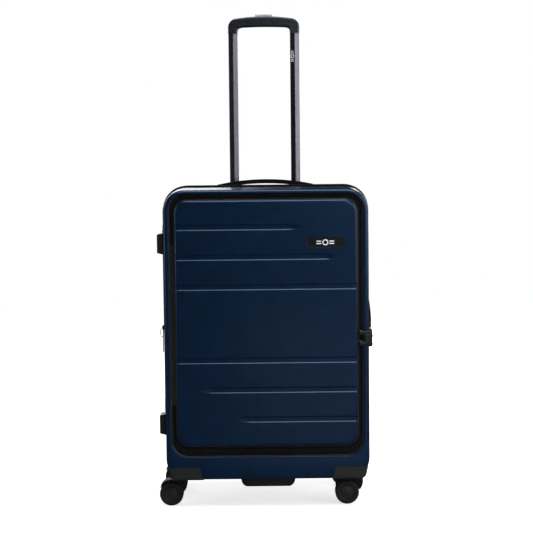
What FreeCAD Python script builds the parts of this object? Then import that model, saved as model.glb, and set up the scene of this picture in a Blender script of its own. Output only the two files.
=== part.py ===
"""Hard shell suitcase on four spinner casters, with an extended trolley handle.

Millimetres. Origin on the floor under the middle of the case, +Z up,
+Y to the back, so that the front pocket lid faces -Y and +X is the lock side.
"""
import FreeCAD, Part
import math
import os

V = FreeCAD.Vector

# ---- driving dimensions -------------------------------------------------------------

# shells: section of the case where its two halves meet
HALF_W = 215.5
BOTTOM_Z = 59.5
TOP_Z = 670.0
CASE_R = 47.0
DRAFT = 4.0            # the section shrinks this much from the middle to the front or back
WALL = 3.0

# places along the depth
LID_FRONT_Y = -137.5
RIM_Y = -131.5         # front face of the front shell
FRONT_EDGE_Y = -14.0   # where the front shell ends
REAR_EDGE_Y = 30.0     # where the rear shell starts
BACK_Y = 137.5
FRONT_ROUND = 6.0
BACK_ROUND = 13.0

# zip bands between the halves
GAP = 0.3
BAND_OUT = 4.0         # how far a band stands out of the shell edge
BAND_THICK = 4.5
EXPANSION_Y = 16.0     # line between the expansion band and the rear band
GUSSET_IN = 5.7        # outer face of the gusset inside the shell section
GUSSET_THICK = 1.5
GUSSET_END_Y = 46.0
GUSSET_LIP_Y = EXPANSION_Y - 1.7
GUSSET_LIP_IN = 6.2    # how far inside the shell section the gusset's lip reaches

# lining of the rear half
LINING_IN = GUSSET_IN + GUSSET_THICK + 0.6
LINING_BACK_Y = 93.0
LINING_THICK = 1.2
LINING_LEAN = 2.2

# fabric hinge of the two halves
HINGE_THICK = 1.5
HINGE_X = -HALF_W - BAND_OUT - GAP - HINGE_THICK / 2
HINGE_TAPE_HALF = 10.0
HINGE_TAPE_Z = (150.0, 590.0)

# front pocket lid and the recess around it
LID_HALF_W = 187.5
LID_Z0 = 135.0
LID_Z1 = 645.0
LID_R = 26.0
LID_BACK_Y = -124.5
LID_WALL = 3.0
LID_ROUND = 5.0
MOUTH_HALF_W = 200.5
MOUTH_Z0 = 112.0
MOUTH_Z1 = 661.0
MOUTH_R = 36.0
FLANGE_BACK_Y = -118.0
TAPE_Y0 = -126.5
TAPE_Y1 = -125.0
TAPE_SPLIT = 2.5       # lid side share of the pocket zip tape
LID_HINGE_Z = (221.0, 553.0)
POCKET_BACK_Y = (-62.0, -60.0)

GROOVE_PITCH = 61.6
GROOVE_FIRST = 76.0    # first groove above or below the middle of the lid
GROOVE_W = 12.0
GROOVE_DEEP = 1.8
GROOVE_SLOPE = 2.5     # width of each sloping side
GROOVE_RAMP = 22.0     # length of the sloping ends
GROOVE_RIB = 1.6       # extra wall behind a groove
GROOVE_PAST = LID_HALF_W + 30.0    # a groove that runs over the lid's edge ends out here
GROOVE_ENDS = {        # left and right end of each groove that fades out
    "top": (-GROOVE_PAST, 72.0),
    "upper": (-GROOVE_PAST, 146.0),
    "lower": (-140.0, GROOVE_PAST),
    "bottom": (-65.0, GROOVE_PAST),
}

PLATE = (75.0, 20.0, 1.2)
PLATE_GAP = 1.0
PLATE_X = 122.0
PLATE_Z = 557.0

# trolley
TUBE_X = 68.0
TUBE_Y = 112.0
TUBE_W = 20.3
TUBE_DEEP = 15.0
TUBE_WALL = 1.3
TUBE_LOW_Z = 470.0
TUBE_TOP_Z = 1014.0
GUIDE_CLEAR = 0.5
GUIDE_WALL = 1.2
GUIDE_LOW_Z = 86.0
GUIDE_TOP_Z = 633.0
PIN_Z = TUBE_LOW_Z + 14.0
PIN_R = 2.2
GRIP_LEG_Z = 1006.0
GRIP_TOP_Z = 1043.0
GRIP_HALF_W = 78.7
GRIP_THICK = 22.0
GRIP_LEG = 21.4
GRIP_DEEP = 22.0
GRIP_CROWN_R = 430.0
GRIP_SHOULDER = 20.0
BUTTON = (38.0, 11.0)
BUTTON_TOP_Z = 1047.5
BUTTON_LOW_Z = 1034.6
RELEASE_BAR_Z = (1029.6, 1033.0)
GRIP_CHANNEL_Z = (1024.0, 1034.0)
STROKE = 365.0
CUP_W = 176.0
CUP_DEEP = 31.0
CUP_FLOOR_Z = GUIDE_TOP_Z

# carry handles
HANDLE_LONG = 208.0
TOP_HANDLE_THICK = 9.0
SIDE_HANDLE_THICK = 6.5
HANDLE_WIDE = 24.0
HANDLE_Y = 58.0
TOP_HANDLE_PEAK = 685.5
SIDE_HANDLE_PEAK = 229.5
SIDE_HANDLE_Z = 367.5
SIDE_HANDLE_LONG = 150.0
SEAT = (34.0, 26.0, 2.2)
SEAT_CUP = (22.0, 20.0, 20.0)
SEAT_HOLE = (16.0, 14.0)

# corner guards and casters
GUARD_TOP_Z = 89.5
GUARD_INNER_X = 141.0
GUARD_INNER_R = 8.0
GUARD_FLARE = 7.0      # the guard's foot reaches this much further in than its top
GUARD_PROUD = 0.8
GUARD_LEAN = (2.2, 8.6)    # how far its side draws in at the top and at the bottom
GUARD_R = 14.0
FRONT_GUARD_Y = (RIM_Y - 2.0, -34.0)
REAR_GUARD_Y = (38.0, BACK_Y + 2.0)
CASTER_X = 185.5
CASTER_Y_FRONT = -80.0
CASTER_Y_REAR = 84.0
TRAIL = 19.0
WHEEL_R = 25.0
WHEEL_THICK = 9.2
WHEEL_GAP = 3.0        # inner face of a wheel from the fork's middle plane
AXLE_R = 2.5
STEM_R = 5.0
STEM_TALL = 21.0
BEARING_CLEAR = 0.05
BOSS_Z = 57.0
BOSS_R = (16.5, 21.5)
BOSS_CONE = 14.0
POST_R = 12.0
POST_TALL = 29.0

# small parts
FRONT_FOOT_FACE_X = 225.0
REAR_FOOT_FACE_X = 229.5
FRONT_FOOT_Y = (-118.0, -84.0)
REAR_FOOT_Y = (84.0, 118.0)
FOOT_ZS = (179.0, 556.0)
FOOT_HALF = (23.0, 19.0)   # half height of a foot at its root and at its face
GRIP_BRACKET_X = 57.0
GRIP_BRACKET_Y = (RIM_Y + 24.0, RIM_Y + 70.0)
GRIP_BRACKET_Z = 43.0
SCREW_HEAD = (3.6, 2.2)

# lock and zip sliders
LOCK_FACE_X = 218.0
LOCK_INNER_X = 206.5
LOCK_WRAP_X = 202.0    # the lock's front wraps round the rim as far as here
LOCK_Y = (RIM_Y + 0.3, -96.0)
LOCK_Z = (340.0, 376.0)
LOCK_WRAP_Z = (350.5, 365.5)
LOCK_WRAP_PROUD = 2.7
DIAL_YS = (-122.0, -115.5, -109.0)
DIAL_Z = 362.0
DIAL_R = 3.5
DIAL_X = 216.2
DIAL_WIDE = 4.0
DIAL_AXLE_R = 1.0
RELEASE_Y = (-125.7, -118.0)
RELEASE_TRAVEL = 4.0
RELEASE_Z = (342.3, 347.9)
SLIDER_ZS = (369.0, 347.0)
SLIDER = (7.0, 11.0)       # width and height of a pocket zip slider
BAND_SLIDER = (4.0, 8.0, 12.0)
PULL_W = 6.0
EXPANSION_SLIDER_Z = 367.0
EXPANSION_PULL_LONG = 56.0
EXPANSION_AXLE = (5.4, 1.5)    # out from the slider's base and above its middle

# packing straps
STRAP_Y = 48.0
STRAP_W = 25.0
STRAP_THICK = 1.6
STRAP_REACH = (176.0, 215.0)
STRAP_LOOP = (28.0, 20.0)


# ---- helpers ------------------------------------------------------------------------

def box(x0, x1, y0, y1, z0, z1):
    return Part.makeBox(x1 - x0, y1 - y0, z1 - z0, V(x0, y0, z0))


def rounded_wire(y, half_w, z0, z1, r_low, r_high):
    """Rounded rectangle in the plane across the depth at y."""
    def corner(cx, cz, r, a0):
        pts = [
            V(cx + r * math.cos(a), y, cz + r * math.sin(a))
            for a in (a0, a0 + math.pi / 4, a0 + math.pi / 2)
        ]
        return Part.Arc(*pts)

    arcs = [
        corner(half_w - r_high, z1 - r_high, r_high, 0.0),
        corner(-half_w + r_high, z1 - r_high, r_high, math.pi / 2),
        corner(-half_w + r_low, z0 + r_low, r_low, math.pi),
        corner(half_w - r_low, z0 + r_low, r_low, 1.5 * math.pi),
    ]
    edges = []
    for i, arc in enumerate(arcs):
        following = arcs[(i + 1) % len(arcs)]
        edges.append(arc.toShape())
        edges.append(Part.makeLine(arc.EndPoint, following.StartPoint))
    return Part.Wire(edges)


def case_wire(y, inset):
    return rounded_wire(
        y, HALF_W - inset, BOTTOM_Z + inset, TOP_Z - inset, CASE_R - inset, CASE_R - inset
    )


def case_block(y0, inset0, y1, inset1):
    return Part.makeLoft([case_wire(y0, inset0), case_wire(y1, inset1)], True, True)


def case_ring(y0, y1, outer_inset, thick):
    """A band that follows the case section, of constant section along the depth."""
    outer = case_block(y0, outer_inset, y1, outer_inset)
    inner = case_block(y0 - 1, outer_inset + thick, y1 + 1, outer_inset + thick)
    return outer.cut(inner)


def panel(y0, y1, half_w, z0, z1, r):
    face = Part.Face(rounded_wire(y0, half_w, z0, z1, r, r))
    return face.extrude(V(0, y1 - y0, 0))


def lid_ring(y0, y1, grow_in, grow_out):
    """A band around the lid, from grow_in to grow_out beyond the lid's edge."""
    def body(g, a, b):
        return panel(a, b, LID_HALF_W + g, LID_Z0 - g, LID_Z1 + g, LID_R + g)
    return body(grow_out, y0, y1).cut(body(grow_in, y0 - 1, y1 + 1))


def prism(points, y0, y1):
    """Polygon of (x, z) points carried from depth y0 to y1."""
    pts = [V(x, y0, z) for x, z in points]
    return Part.Face(Part.makePolygon(pts + [pts[0]])).extrude(V(0, y1 - y0, 0))


def along(shape, direction):
    """Edges of a solid that run straight along a direction."""
    found = []
    for edge in shape.Edges:
        if edge.Curve.TypeId == "Part::GeomLine":
            if abs(edge.Curve.Direction.dot(direction)) > 0.999:
                found.append(edge)
    return found


def edges_at(shape, test):
    """Edges whose whole bounding box passes a test."""
    return [e for e in shape.Edges if test(e.BoundBox)]


def cylinder(r, length, at, direction):
    return Part.makeCylinder(r, length, at, direction)


def mirror_x(shape):
    return shape.mirror(V(0, 0, 0), V(1, 0, 0))


def fuse(shapes):
    first = shapes[0]
    if len(shapes) == 1:
        return first
    return first.multiFuse(shapes[1:]).removeSplitter()


def group(shapes):
    return Part.makeCompound(shapes)


NODES = {}


def node(name, shape):
    NODES[name] = shape


# ---- shells -------------------------------------------------------------------------

def front_block():
    block = case_block(RIM_Y, DRAFT, FRONT_EDGE_Y, 0.0)
    rim = edges_at(block, lambda b: b.YMax < RIM_Y + 0.1)
    return block.makeFillet(FRONT_ROUND, rim)


def front_cavity():
    return case_block(RIM_Y + WALL, DRAFT + WALL, FRONT_EDGE_Y + 1, WALL)


def rear_block():
    block = case_block(REAR_EDGE_Y, 0.0, BACK_Y, DRAFT)
    rim = edges_at(block, lambda b: b.YMin > BACK_Y - 0.1)
    return block.makeFillet(BACK_ROUND, rim)


def rear_cavity():
    block = case_block(REAR_EDGE_Y - 1, WALL, BACK_Y - WALL, DRAFT + WALL)
    rim = edges_at(block, lambda b: b.YMin > BACK_Y - WALL - 0.1)
    return block.makeFillet(BACK_ROUND - WALL, rim)


def guard_region(side, y0, y1):
    """The bottom corner that a guard takes out of a shell."""
    outer = side * (HALF_W + 12.0)
    foot = side * (GUARD_INNER_X - GUARD_FLARE)
    points = [
        (outer, GUARD_TOP_Z),
        (side * GUARD_INNER_X, GUARD_TOP_Z),
        (foot, BOTTOM_Z + WALL),
        (foot, BOTTOM_Z - 20.0),
        (outer, BOTTOM_Z - 20.0),
    ]
    region = prism(points, y0, y1)
    corner = edges_at(
        region, lambda b: b.ZMin > GUARD_TOP_Z - 0.1 and abs(b.XMax + b.XMin) < 2 * GUARD_INNER_X + 0.1
    )
    return region.makeFillet(GUARD_INNER_R, corner)


def handle_seats():
    """Centre, outward direction and long direction of the four handle seats."""
    top_x = HANDLE_LONG / 2 - SEAT[0] / 2
    side_z = SIDE_HANDLE_LONG / 2 - SEAT[0] / 2
    top = TOP_Z - seat_inset()
    side = HALF_W - seat_inset()
    return [
        (V(-top_x, HANDLE_Y, top), V(0, 0, 1), V(1, 0, 0)),
        (V(top_x, HANDLE_Y, top), V(0, 0, 1), V(1, 0, 0)),
        (V(side, HANDLE_Y, SIDE_HANDLE_Z - side_z), V(1, 0, 0), V(0, 0, 1)),
        (V(side, HANDLE_Y, SIDE_HANDLE_Z + side_z), V(1, 0, 0), V(0, 0, 1)),
    ]


def seat_inset():
    """How far the shell has drawn in at the handles' depth."""
    return DRAFT * (HANDLE_Y - REAR_EDGE_Y) / (BACK_Y - REAR_EDGE_Y)


def seat_block(seat, size_long, size_wide, low, high):
    """A block on a handle seat, from low to high along the outward direction."""
    centre, out, long_way = seat
    wide_way = V(0, 1, 0)
    a = centre - long_way * (size_long / 2) - wide_way * (size_wide / 2) + out * low
    b = centre + long_way * (size_long / 2) + wide_way * (size_wide / 2) + out * high
    lo = V(min(a.x, b.x), min(a.y, b.y), min(a.z, b.z))
    hi = V(max(a.x, b.x), max(a.y, b.y), max(a.z, b.z))
    return box(lo.x, hi.x, lo.y, hi.y, lo.z, hi.z)


def make_front_shell():
    shell = front_block().cut(front_cavity())
    mouth = panel(
        RIM_Y - 5, FLANGE_BACK_Y + 1, MOUTH_HALF_W, MOUTH_Z0, MOUTH_Z1, MOUTH_R
    )
    shell = shell.cut(mouth)
    flange = panel(
        RIM_Y + 1, FLANGE_BACK_Y, MOUTH_HALF_W + 2.5, MOUTH_Z0 - 2.5, MOUTH_Z1 + 2.5, MOUTH_R + 2.5
    )
    flange = flange.cut(mouth)
    shell = fuse([shell, flange.common(front_block())])
    for side in (-1, 1):
        shell = shell.cut(guard_region(side, *FRONT_GUARD_Y))
    node("front_shell", shell)


def make_rear_shell():
    shell = rear_block().cut(rear_cavity())
    for side in (-1, 1):
        shell = shell.cut(guard_region(side, *REAR_GUARD_Y))
    half = CUP_W / 2
    shell = shell.cut(
        box(-half, half, TUBE_Y - CUP_DEEP / 2, TUBE_Y + CUP_DEEP / 2, TOP_Z - 30, TOP_Z + 5)
    )
    for seat in handle_seats():
        shell = shell.cut(seat_block(seat, SEAT_CUP[0], SEAT_CUP[1], -12, 8))
    node("rear_shell", shell)


def make_bands():
    node("front_zip_tape", case_ring(FRONT_EDGE_Y, -GAP, -BAND_OUT, BAND_THICK))
    node("expansion_zip_tape", case_ring(GAP, EXPANSION_Y, -BAND_OUT, BAND_THICK))
    node("rear_zip_tape", case_ring(EXPANSION_Y + GAP, REAR_EDGE_Y, -BAND_OUT, BAND_THICK))
    band_in = BAND_THICK - BAND_OUT
    lip = case_ring(GUSSET_LIP_Y, EXPANSION_Y, band_in, GUSSET_LIP_IN - band_in)
    sleeve = case_ring(GUSSET_LIP_Y, GUSSET_END_Y, GUSSET_IN, GUSSET_THICK)
    node("expansion_gusset", fuse([lip, sleeve]))


def make_main_hinge():
    half = HINGE_THICK / 2
    tape = box(
        HINGE_X - half, HINGE_X + half, -HINGE_TAPE_HALF, HINGE_TAPE_HALF, *HINGE_TAPE_Z
    )
    node("main_hinge_tape", tape)


# ---- front pocket -------------------------------------------------------------------

def groove_cutter(z, x0, x1):
    """A shallow channel across the lid's face, with sloping sides and ends."""
    y = LID_FRONT_Y
    half = GROOVE_W / 2

    def section(x_in, x_out, at_y, half_z):
        pts = [V(x_in, at_y, z - half_z), V(x_out, at_y, z - half_z)]
        pts += [V(x_out, at_y, z + half_z), V(x_in, at_y, z + half_z)]
        return Part.makePolygon(pts + [pts[0]])

    top = section(x0, x1, y - 0.5, half)
    bottom = section(x0 + GROOVE_RAMP, x1 - GROOVE_RAMP, y + GROOVE_DEEP, half - GROOVE_SLOPE)
    return Part.makeLoft([top, bottom], True, True)


def groove_rows():
    mid = (LID_Z0 + LID_Z1) / 2
    full = (-GROOVE_PAST, GROOVE_PAST)
    near = GROOVE_FIRST
    return [
        (mid + near + 2 * GROOVE_PITCH, GROOVE_ENDS["top"]),
        (mid + near + GROOVE_PITCH, GROOVE_ENDS["upper"]),
        (mid + near, full),
        (mid - near, full),
        (mid - near - GROOVE_PITCH, GROOVE_ENDS["lower"]),
        (mid - near - 2 * GROOVE_PITCH, GROOVE_ENDS["bottom"]),
    ]


def plate_block(front_y, grow):
    """The name plate's block, or with some growth the recess it sits in."""
    half_w = PLATE[0] / 2 + grow
    half_z = PLATE[1] / 2 + grow
    return box(
        PLATE_X - half_w, PLATE_X + half_w, front_y, LID_FRONT_Y + PLATE[2],
        PLATE_Z - half_z, PLATE_Z + half_z,
    )


def make_lid():
    lid = panel(LID_FRONT_Y, LID_BACK_Y, LID_HALF_W, LID_Z0, LID_Z1, LID_R)
    lid = lid.makeFillet(LID_ROUND, edges_at(lid, lambda b: b.YMax < LID_FRONT_Y + 0.1))
    hollow = panel(
        LID_FRONT_Y + LID_WALL, LID_BACK_Y + 1, LID_HALF_W - LID_WALL,
        LID_Z0 + LID_WALL, LID_Z1 - LID_WALL, LID_R - LID_WALL,
    )
    inside_y = LID_FRONT_Y + LID_WALL
    edge = LID_HALF_W - LID_WALL
    rib_half = GROOVE_W / 2 + 1.5
    for z, (x0, x1) in groove_rows():
        lid = lid.cut(groove_cutter(z, x0, x1))
        rib = box(
            max(x0, -edge) - 2, min(x1, edge) + 2, inside_y, inside_y + GROOVE_RIB,
            z - rib_half, z + rib_half,
        )
        hollow = hollow.cut(rib)
    lid = lid.cut(hollow)
    node("front_lid", lid.cut(plate_block(LID_FRONT_Y - 1, PLATE_GAP)))
    plate = plate_block(LID_FRONT_Y, 0.0)
    node("name_plate", plate.makeFillet(1.5, along(plate, V(0, 1, 0))))
    lining = panel(
        inside_y + GROOVE_RIB + 0.6, inside_y + GROOVE_RIB + 1.8, edge,
        LID_Z0 + LID_WALL, LID_Z1 - LID_WALL, LID_R - LID_WALL,
    )
    node("lid_lining", lining)
    node("lid_zip_tape", lid_ring(TAPE_Y0, TAPE_Y1, 0.0, TAPE_SPLIT))


def make_pocket_tape():
    outer = panel(TAPE_Y0, TAPE_Y1, MOUTH_HALF_W, MOUTH_Z0, MOUTH_Z1, MOUTH_R)
    g = TAPE_SPLIT + GAP
    inner = panel(
        TAPE_Y0 - 1, TAPE_Y1 + 1, LID_HALF_W + g, LID_Z0 - g, LID_Z1 + g, LID_R + g
    )
    node("pocket_zip_tape", outer.cut(inner))


def make_lid_hinge():
    """Fabric strip over the zip tapes on the lid's hinge side."""
    x0 = -MOUTH_HALF_W + 0.3
    x1 = -LID_HALF_W - 1.0
    strip = box(x0, x1, TAPE_Y0 - 1.8, TAPE_Y0 - 0.6, *LID_HINGE_Z)
    seam = box(x0, x0 + 3.0, TAPE_Y0 - 0.6, TAPE_Y0, *LID_HINGE_Z)
    node("lid_hinge_tape", fuse([strip, seam]))


def make_pocket_back():
    slab = box(-HALF_W, HALF_W, *POCKET_BACK_Y, BOTTOM_Z, TOP_Z)
    back = front_cavity().common(slab)
    cone, _ = caster_boss(CASTER_Y_FRONT)
    for housing in (cone, mirror_x(cone)):
        back = back.cut(housing)
    node("pocket_back_panel", back)


# ---- rear interior ------------------------------------------------------------------

def make_rear_lining():
    back = LINING_BACK_Y
    lean = LINING_IN + LINING_LEAN
    outer = case_block(REAR_EDGE_Y + 0.5, LINING_IN, back, lean)
    inner = case_block(
        REAR_EDGE_Y - 1, LINING_IN + LINING_THICK, back - LINING_THICK, lean + LINING_THICK
    )
    lining = outer.cut(inner)
    for side in (-1, 1):
        post_room = cylinder(
            POST_R + 2.0, 2 * POST_TALL, V(side * CASTER_X, CASTER_Y_REAR, BOTTOM_Z - 5), V(0, 0, 1)
        )
        cone_room = cylinder(
            BOSS_R[1] + 1.0, BOSS_CONE + 5.6, V(side * CASTER_X, CASTER_Y_REAR, BOSS_Z - 5), V(0, 0, 1)
        )
        lining = lining.cut(post_room).cut(cone_room)
    for seat in handle_seats():
        lining = lining.cut(seat_block(seat, SEAT_CUP[0] + 2, SEAT_CUP[1] + 2, -30, 8))
    node("rear_lining", lining)


def strap_strip(x0, z0, x1, z1):
    """Flat strap between two points across the depth."""
    run = V(x1 - x0, 0, z1 - z0)
    across = V(-run.z, 0, run.x).normalize() * (STRAP_W / 2)
    a = V(x0, STRAP_Y, z0)
    b = V(x1, STRAP_Y, z1)
    pts = [a + across, b + across, b - across, a - across]
    return Part.Face(Part.makePolygon(pts + [pts[0]])).extrude(V(0, STRAP_THICK, 0))


def strap_loop(x, z):
    """Loop that holds a strap's end to the lining."""
    half_x = STRAP_LOOP[0] / 2
    half_z = STRAP_LOOP[1] / 2
    back = LINING_BACK_Y - LINING_THICK
    loop = box(x - half_x, x + half_x, STRAP_Y, back, z - half_z, z + half_z)
    hollow = box(x - half_x + 2, x + half_x - 2, STRAP_Y + 4, back - 4, z - half_z - 1, z + half_z + 1)
    return loop.cut(hollow)


def make_straps():
    reach, rise = STRAP_REACH
    middle = (BOTTOM_Z + TOP_Z) / 2
    parts = [
        strap_strip(-reach, middle - rise, reach, middle + rise),
        strap_strip(-reach, middle + rise, reach, middle - rise),
    ]
    for side in (-1, 1):
        for end in (-1, 1):
            parts.append(strap_loop(side * reach, middle + end * rise))
    node("packing_straps", fuse(parts))


# ---- corner guards, feet, bottom grip -----------------------------------------------

def guard_wire(y, inset):
    """Section of a guard's block on the +X side; its outer side leans in towards the bottom."""
    inner_x = GUARD_INNER_X - 2 * GUARD_FLARE
    low = BOTTOM_Z + inset - GUARD_PROUD
    high = GUARD_TOP_Z + 5.0
    edge = HALF_W - inset
    pts = [
        V(inner_x, y, low), V(edge - GUARD_LEAN[1], y, low),
        V(edge - GUARD_LEAN[0], y, high), V(inner_x, y, high),
    ]
    return Part.makePolygon(pts + [pts[0]])


def guard_skin(front):
    """A guard's own outer surface down to the case's cavity, on the +X side."""
    if front:
        rim_y = RIM_Y - GUARD_PROUD
        other_y = FRONT_EDGE_Y
        rounding = FRONT_ROUND
    else:
        rim_y = BACK_Y - 0.2
        other_y = REAR_EDGE_Y
        rounding = BACK_ROUND
    block = Part.makeLoft([guard_wire(rim_y, DRAFT), guard_wire(other_y, 0.0)], True, True)
    corner = edges_at(
        block, lambda b: b.YLength > 50 and b.XMin > GUARD_INNER_X and b.ZMax < BOTTOM_Z + 10
    )
    block = block.makeFillet(GUARD_R, corner)
    rim = edges_at(
        block, lambda b: b.YLength < 0.1 and abs(b.YMin - rim_y) < 0.1
        and b.XMax > GUARD_INNER_X + 5 and b.ZMin < GUARD_TOP_Z
    )
    block = block.makeFillet(rounding, rim)
    return block.cut(front_cavity() if front else rear_cavity())


def caster_boss(y):
    """Housing of a caster's stem under the corner, on the +X side."""
    at = V(CASTER_X, y, BOSS_Z)
    cone = Part.makeCone(*BOSS_R, BOSS_CONE, at, V(0, 0, 1))
    post = cylinder(POST_R, POST_TALL, at, V(0, 0, 1))
    return cone, post


def make_guards():
    for name, front, ys, y in (
        ("corner_guards_front", True, FRONT_GUARD_Y, CASTER_Y_FRONT),
        ("corner_guards_rear", False, REAR_GUARD_Y, CASTER_Y_REAR),
    ):
        skin = guard_skin(front).common(guard_region(1, *ys))
        cone, post = caster_boss(y)
        bore = cylinder(
            STEM_R + BEARING_CLEAR, STEM_TALL + 5.0, V(CASTER_X, y, BOSS_Z - 1), V(0, 0, 1)
        )
        guard = fuse([skin, cone, post]).cut(bore)
        node(name, group([guard, mirror_x(guard)]))


def side_feet(y0, y1, face_x):
    feet = []
    root_half, face_half = FOOT_HALF
    root = -HALF_W + DRAFT + 2.0
    for z in FOOT_ZS:
        points = [
            (root, z - root_half), (-face_x, z - face_half),
            (-face_x, z + face_half), (root, z + root_half),
        ]
        foot = prism(points, y0, y1)
        foot = foot.makeFillet(1.5, edges_at(foot, lambda b: b.XMax < -face_x + 0.1))
        feet.append(foot)
    return feet


def make_feet():
    front = [f.cut(front_block()) for f in side_feet(*FRONT_FOOT_Y, FRONT_FOOT_FACE_X)]
    rear = [f.cut(rear_block()) for f in side_feet(*REAR_FOOT_Y, REAR_FOOT_FACE_X)]
    node("side_feet_front", group(front))
    node("side_feet_rear", group(rear))


def make_bottom_grip():
    """A moulded grip under the front edge, open at the back for the fingers."""
    y0, y1 = GRIP_BRACKET_Y
    half = GRIP_BRACKET_X
    body = box(-half, half, y0, y1, GRIP_BRACKET_Z, BOTTOM_Z + 10)
    low = edges_at(body, lambda b: b.ZMax < GRIP_BRACKET_Z + 0.1 and b.XLength > half)
    body = body.makeFillet(3.0, low)
    ends = [
        e for e in along(body, V(0, 1, 0))
        if e.BoundBox.ZMax < GRIP_BRACKET_Z + 3.5 and abs(e.BoundBox.XMin) > half - 0.1
    ]
    body = body.makeFillet(14.0, ends)
    hollow = box(-half + 8, half - 8, y0 + 7, y1 + 1, GRIP_BRACKET_Z + 6, BOTTOM_Z + 11)
    node("bottom_grip", body.cut(hollow).cut(front_block()))


# ---- trolley ------------------------------------------------------------------------

def tube_wire(x, z, grow):
    """Ridged tube section: flat back, two facets that meet in a front ridge."""
    hw = TUBE_W / 2 + grow
    back = TUBE_Y + TUBE_DEEP / 2 + grow
    front = TUBE_Y - TUBE_DEEP / 2 - grow
    shoulder = front + 4.5
    pts = [
        V(x - hw, back, z), V(x + hw, back, z), V(x + hw, shoulder, z), V(x, front, z),
        V(x - hw, shoulder, z),
    ]
    return Part.makePolygon(pts + [pts[0]])


def tube_solid(x, z0, z1, grow):
    return Part.Face(tube_wire(x, z0, grow)).extrude(V(0, 0, z1 - z0))


def hollow_tube(x, z0, z1, grow, wall):
    outer = tube_solid(x, z0, z1, grow)
    corners = along(outer, V(0, 0, 1))
    outer = outer.makeFillet(1.2, corners)
    return outer.cut(tube_solid(x, z0 - 1, z1 + 1, grow - wall))


def make_trolley_tubes():
    tubes = []
    for side in (-1, 1):
        tube = hollow_tube(side * TUBE_X, TUBE_LOW_Z, TUBE_TOP_Z, 0.0, TUBE_WALL)
        hole = cylinder(PIN_R + BEARING_CLEAR, 6.0, V(side * TUBE_X, TUBE_Y + 4, PIN_Z), V(0, 1, 0))
        tubes.append(tube.cut(hole))
    node("trolley_tubes", group(tubes))


def make_guides():
    guides = []
    grow = GUIDE_CLEAR + GUIDE_WALL
    for side in (-1, 1):
        x = side * TUBE_X
        guide = hollow_tube(x, GUIDE_LOW_Z, GUIDE_TOP_Z, grow, GUIDE_WALL)
        slot = box(x - 2.6, x + 2.6, TUBE_Y + 5, TUBE_Y + 12, PIN_Z - STROKE - 6, PIN_Z + 6)
        guides.append(guide.cut(slot))
    node("trolley_guide_tubes", group(guides))
    foot = box(-TUBE_X - 22, TUBE_X + 22, TUBE_Y - 14, BACK_Y - WALL, GUIDE_LOW_Z - 8, GUIDE_LOW_Z)
    rail = box(-TUBE_X - 16, TUBE_X + 16, TUBE_Y - 12, TUBE_Y + 11, GUIDE_LOW_Z, GUIDE_LOW_Z + 22)
    for side in (-1, 1):
        rail = rail.cut(tube_solid(side * TUBE_X, GUIDE_LOW_Z - 1, GUIDE_LOW_Z + 23, grow))
    node("trolley_base", fuse([foot, rail]).common(rear_cavity()))


def make_bezel():
    half = CUP_W / 2
    y0 = TUBE_Y - CUP_DEEP / 2
    y1 = TUBE_Y + CUP_DEEP / 2
    top = TOP_Z - DRAFT * (TUBE_Y - REAR_EDGE_Y) / (BACK_Y - REAR_EDGE_Y)
    cup = box(-half, half, y0, y1, CUP_FLOOR_Z, top + 1)
    cup = cup.makeFillet(6.0, along(cup, V(0, 0, 1)))
    lip = box(-half - 5, half + 5, y0 - 4, y1 + 4, top - 3.5, top + 2.0)
    lip = lip.makeFillet(8.0, along(lip, V(0, 0, 1)))
    body = fuse([cup, lip.cut(rear_block())])
    inner = box(-half + 2, half - 2, y0 + 2, y1 - 2, CUP_FLOOR_Z + 3, top + 10)
    body = body.cut(inner.makeFillet(4.0, along(inner, V(0, 0, 1))))
    for side in (-1, 1):
        x = side * TUBE_X
        body = body.cut(tube_solid(x, CUP_FLOOR_Z - 1, CUP_FLOOR_Z + 5, GUIDE_CLEAR))
    node("trolley_bezel", body.cut(NODES["rear_shell"]))


def grip_outline(x_half, top, crown_r, shoulder, z_low):
    """Arched outline of the grip: legs, rounded shoulders and a crowned top bar, all tangent."""
    tilt = math.asin((x_half - shoulder) / (crown_r - shoulder))
    centre_z = top - crown_r + (crown_r - shoulder) * math.cos(tilt)

    def shoulder_point(side, angle):
        x = side * (x_half - shoulder + shoulder * math.cos(angle))
        return V(x, TUBE_Y, centre_z + shoulder * math.sin(angle))

    end = math.pi / 2 - tilt
    left, right = [
        [shoulder_point(side, a) for a in (0.0, end / 2, end)] for side in (-1, 1)
    ]
    return [
        Part.makeLine(V(-x_half, TUBE_Y, z_low), left[0]),
        Part.Arc(*left).toShape(),
        Part.Arc(left[2], V(0, TUBE_Y, top), right[2]).toShape(),
        Part.Arc(*right).toShape(),
        Part.makeLine(right[0], V(x_half, TUBE_Y, z_low)),
    ]


def grip_face():
    outer = grip_outline(GRIP_HALF_W, GRIP_TOP_Z, GRIP_CROWN_R, GRIP_SHOULDER, GRIP_LEG_Z)
    inner_half = GRIP_HALF_W - GRIP_LEG
    inner = grip_outline(
        inner_half, GRIP_TOP_Z - GRIP_THICK, 2 * GRIP_CROWN_R, GRIP_SHOULDER / 2, GRIP_LEG_Z
    )
    first = Part.makeLine(V(GRIP_HALF_W, TUBE_Y, GRIP_LEG_Z), V(inner_half, TUBE_Y, GRIP_LEG_Z))
    last = Part.makeLine(V(-inner_half, TUBE_Y, GRIP_LEG_Z), V(-GRIP_HALF_W, TUBE_Y, GRIP_LEG_Z))
    edges = Part.__sortEdges__(outer + [first] + inner + [last])
    return Part.Face(Part.Wire(edges))


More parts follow.
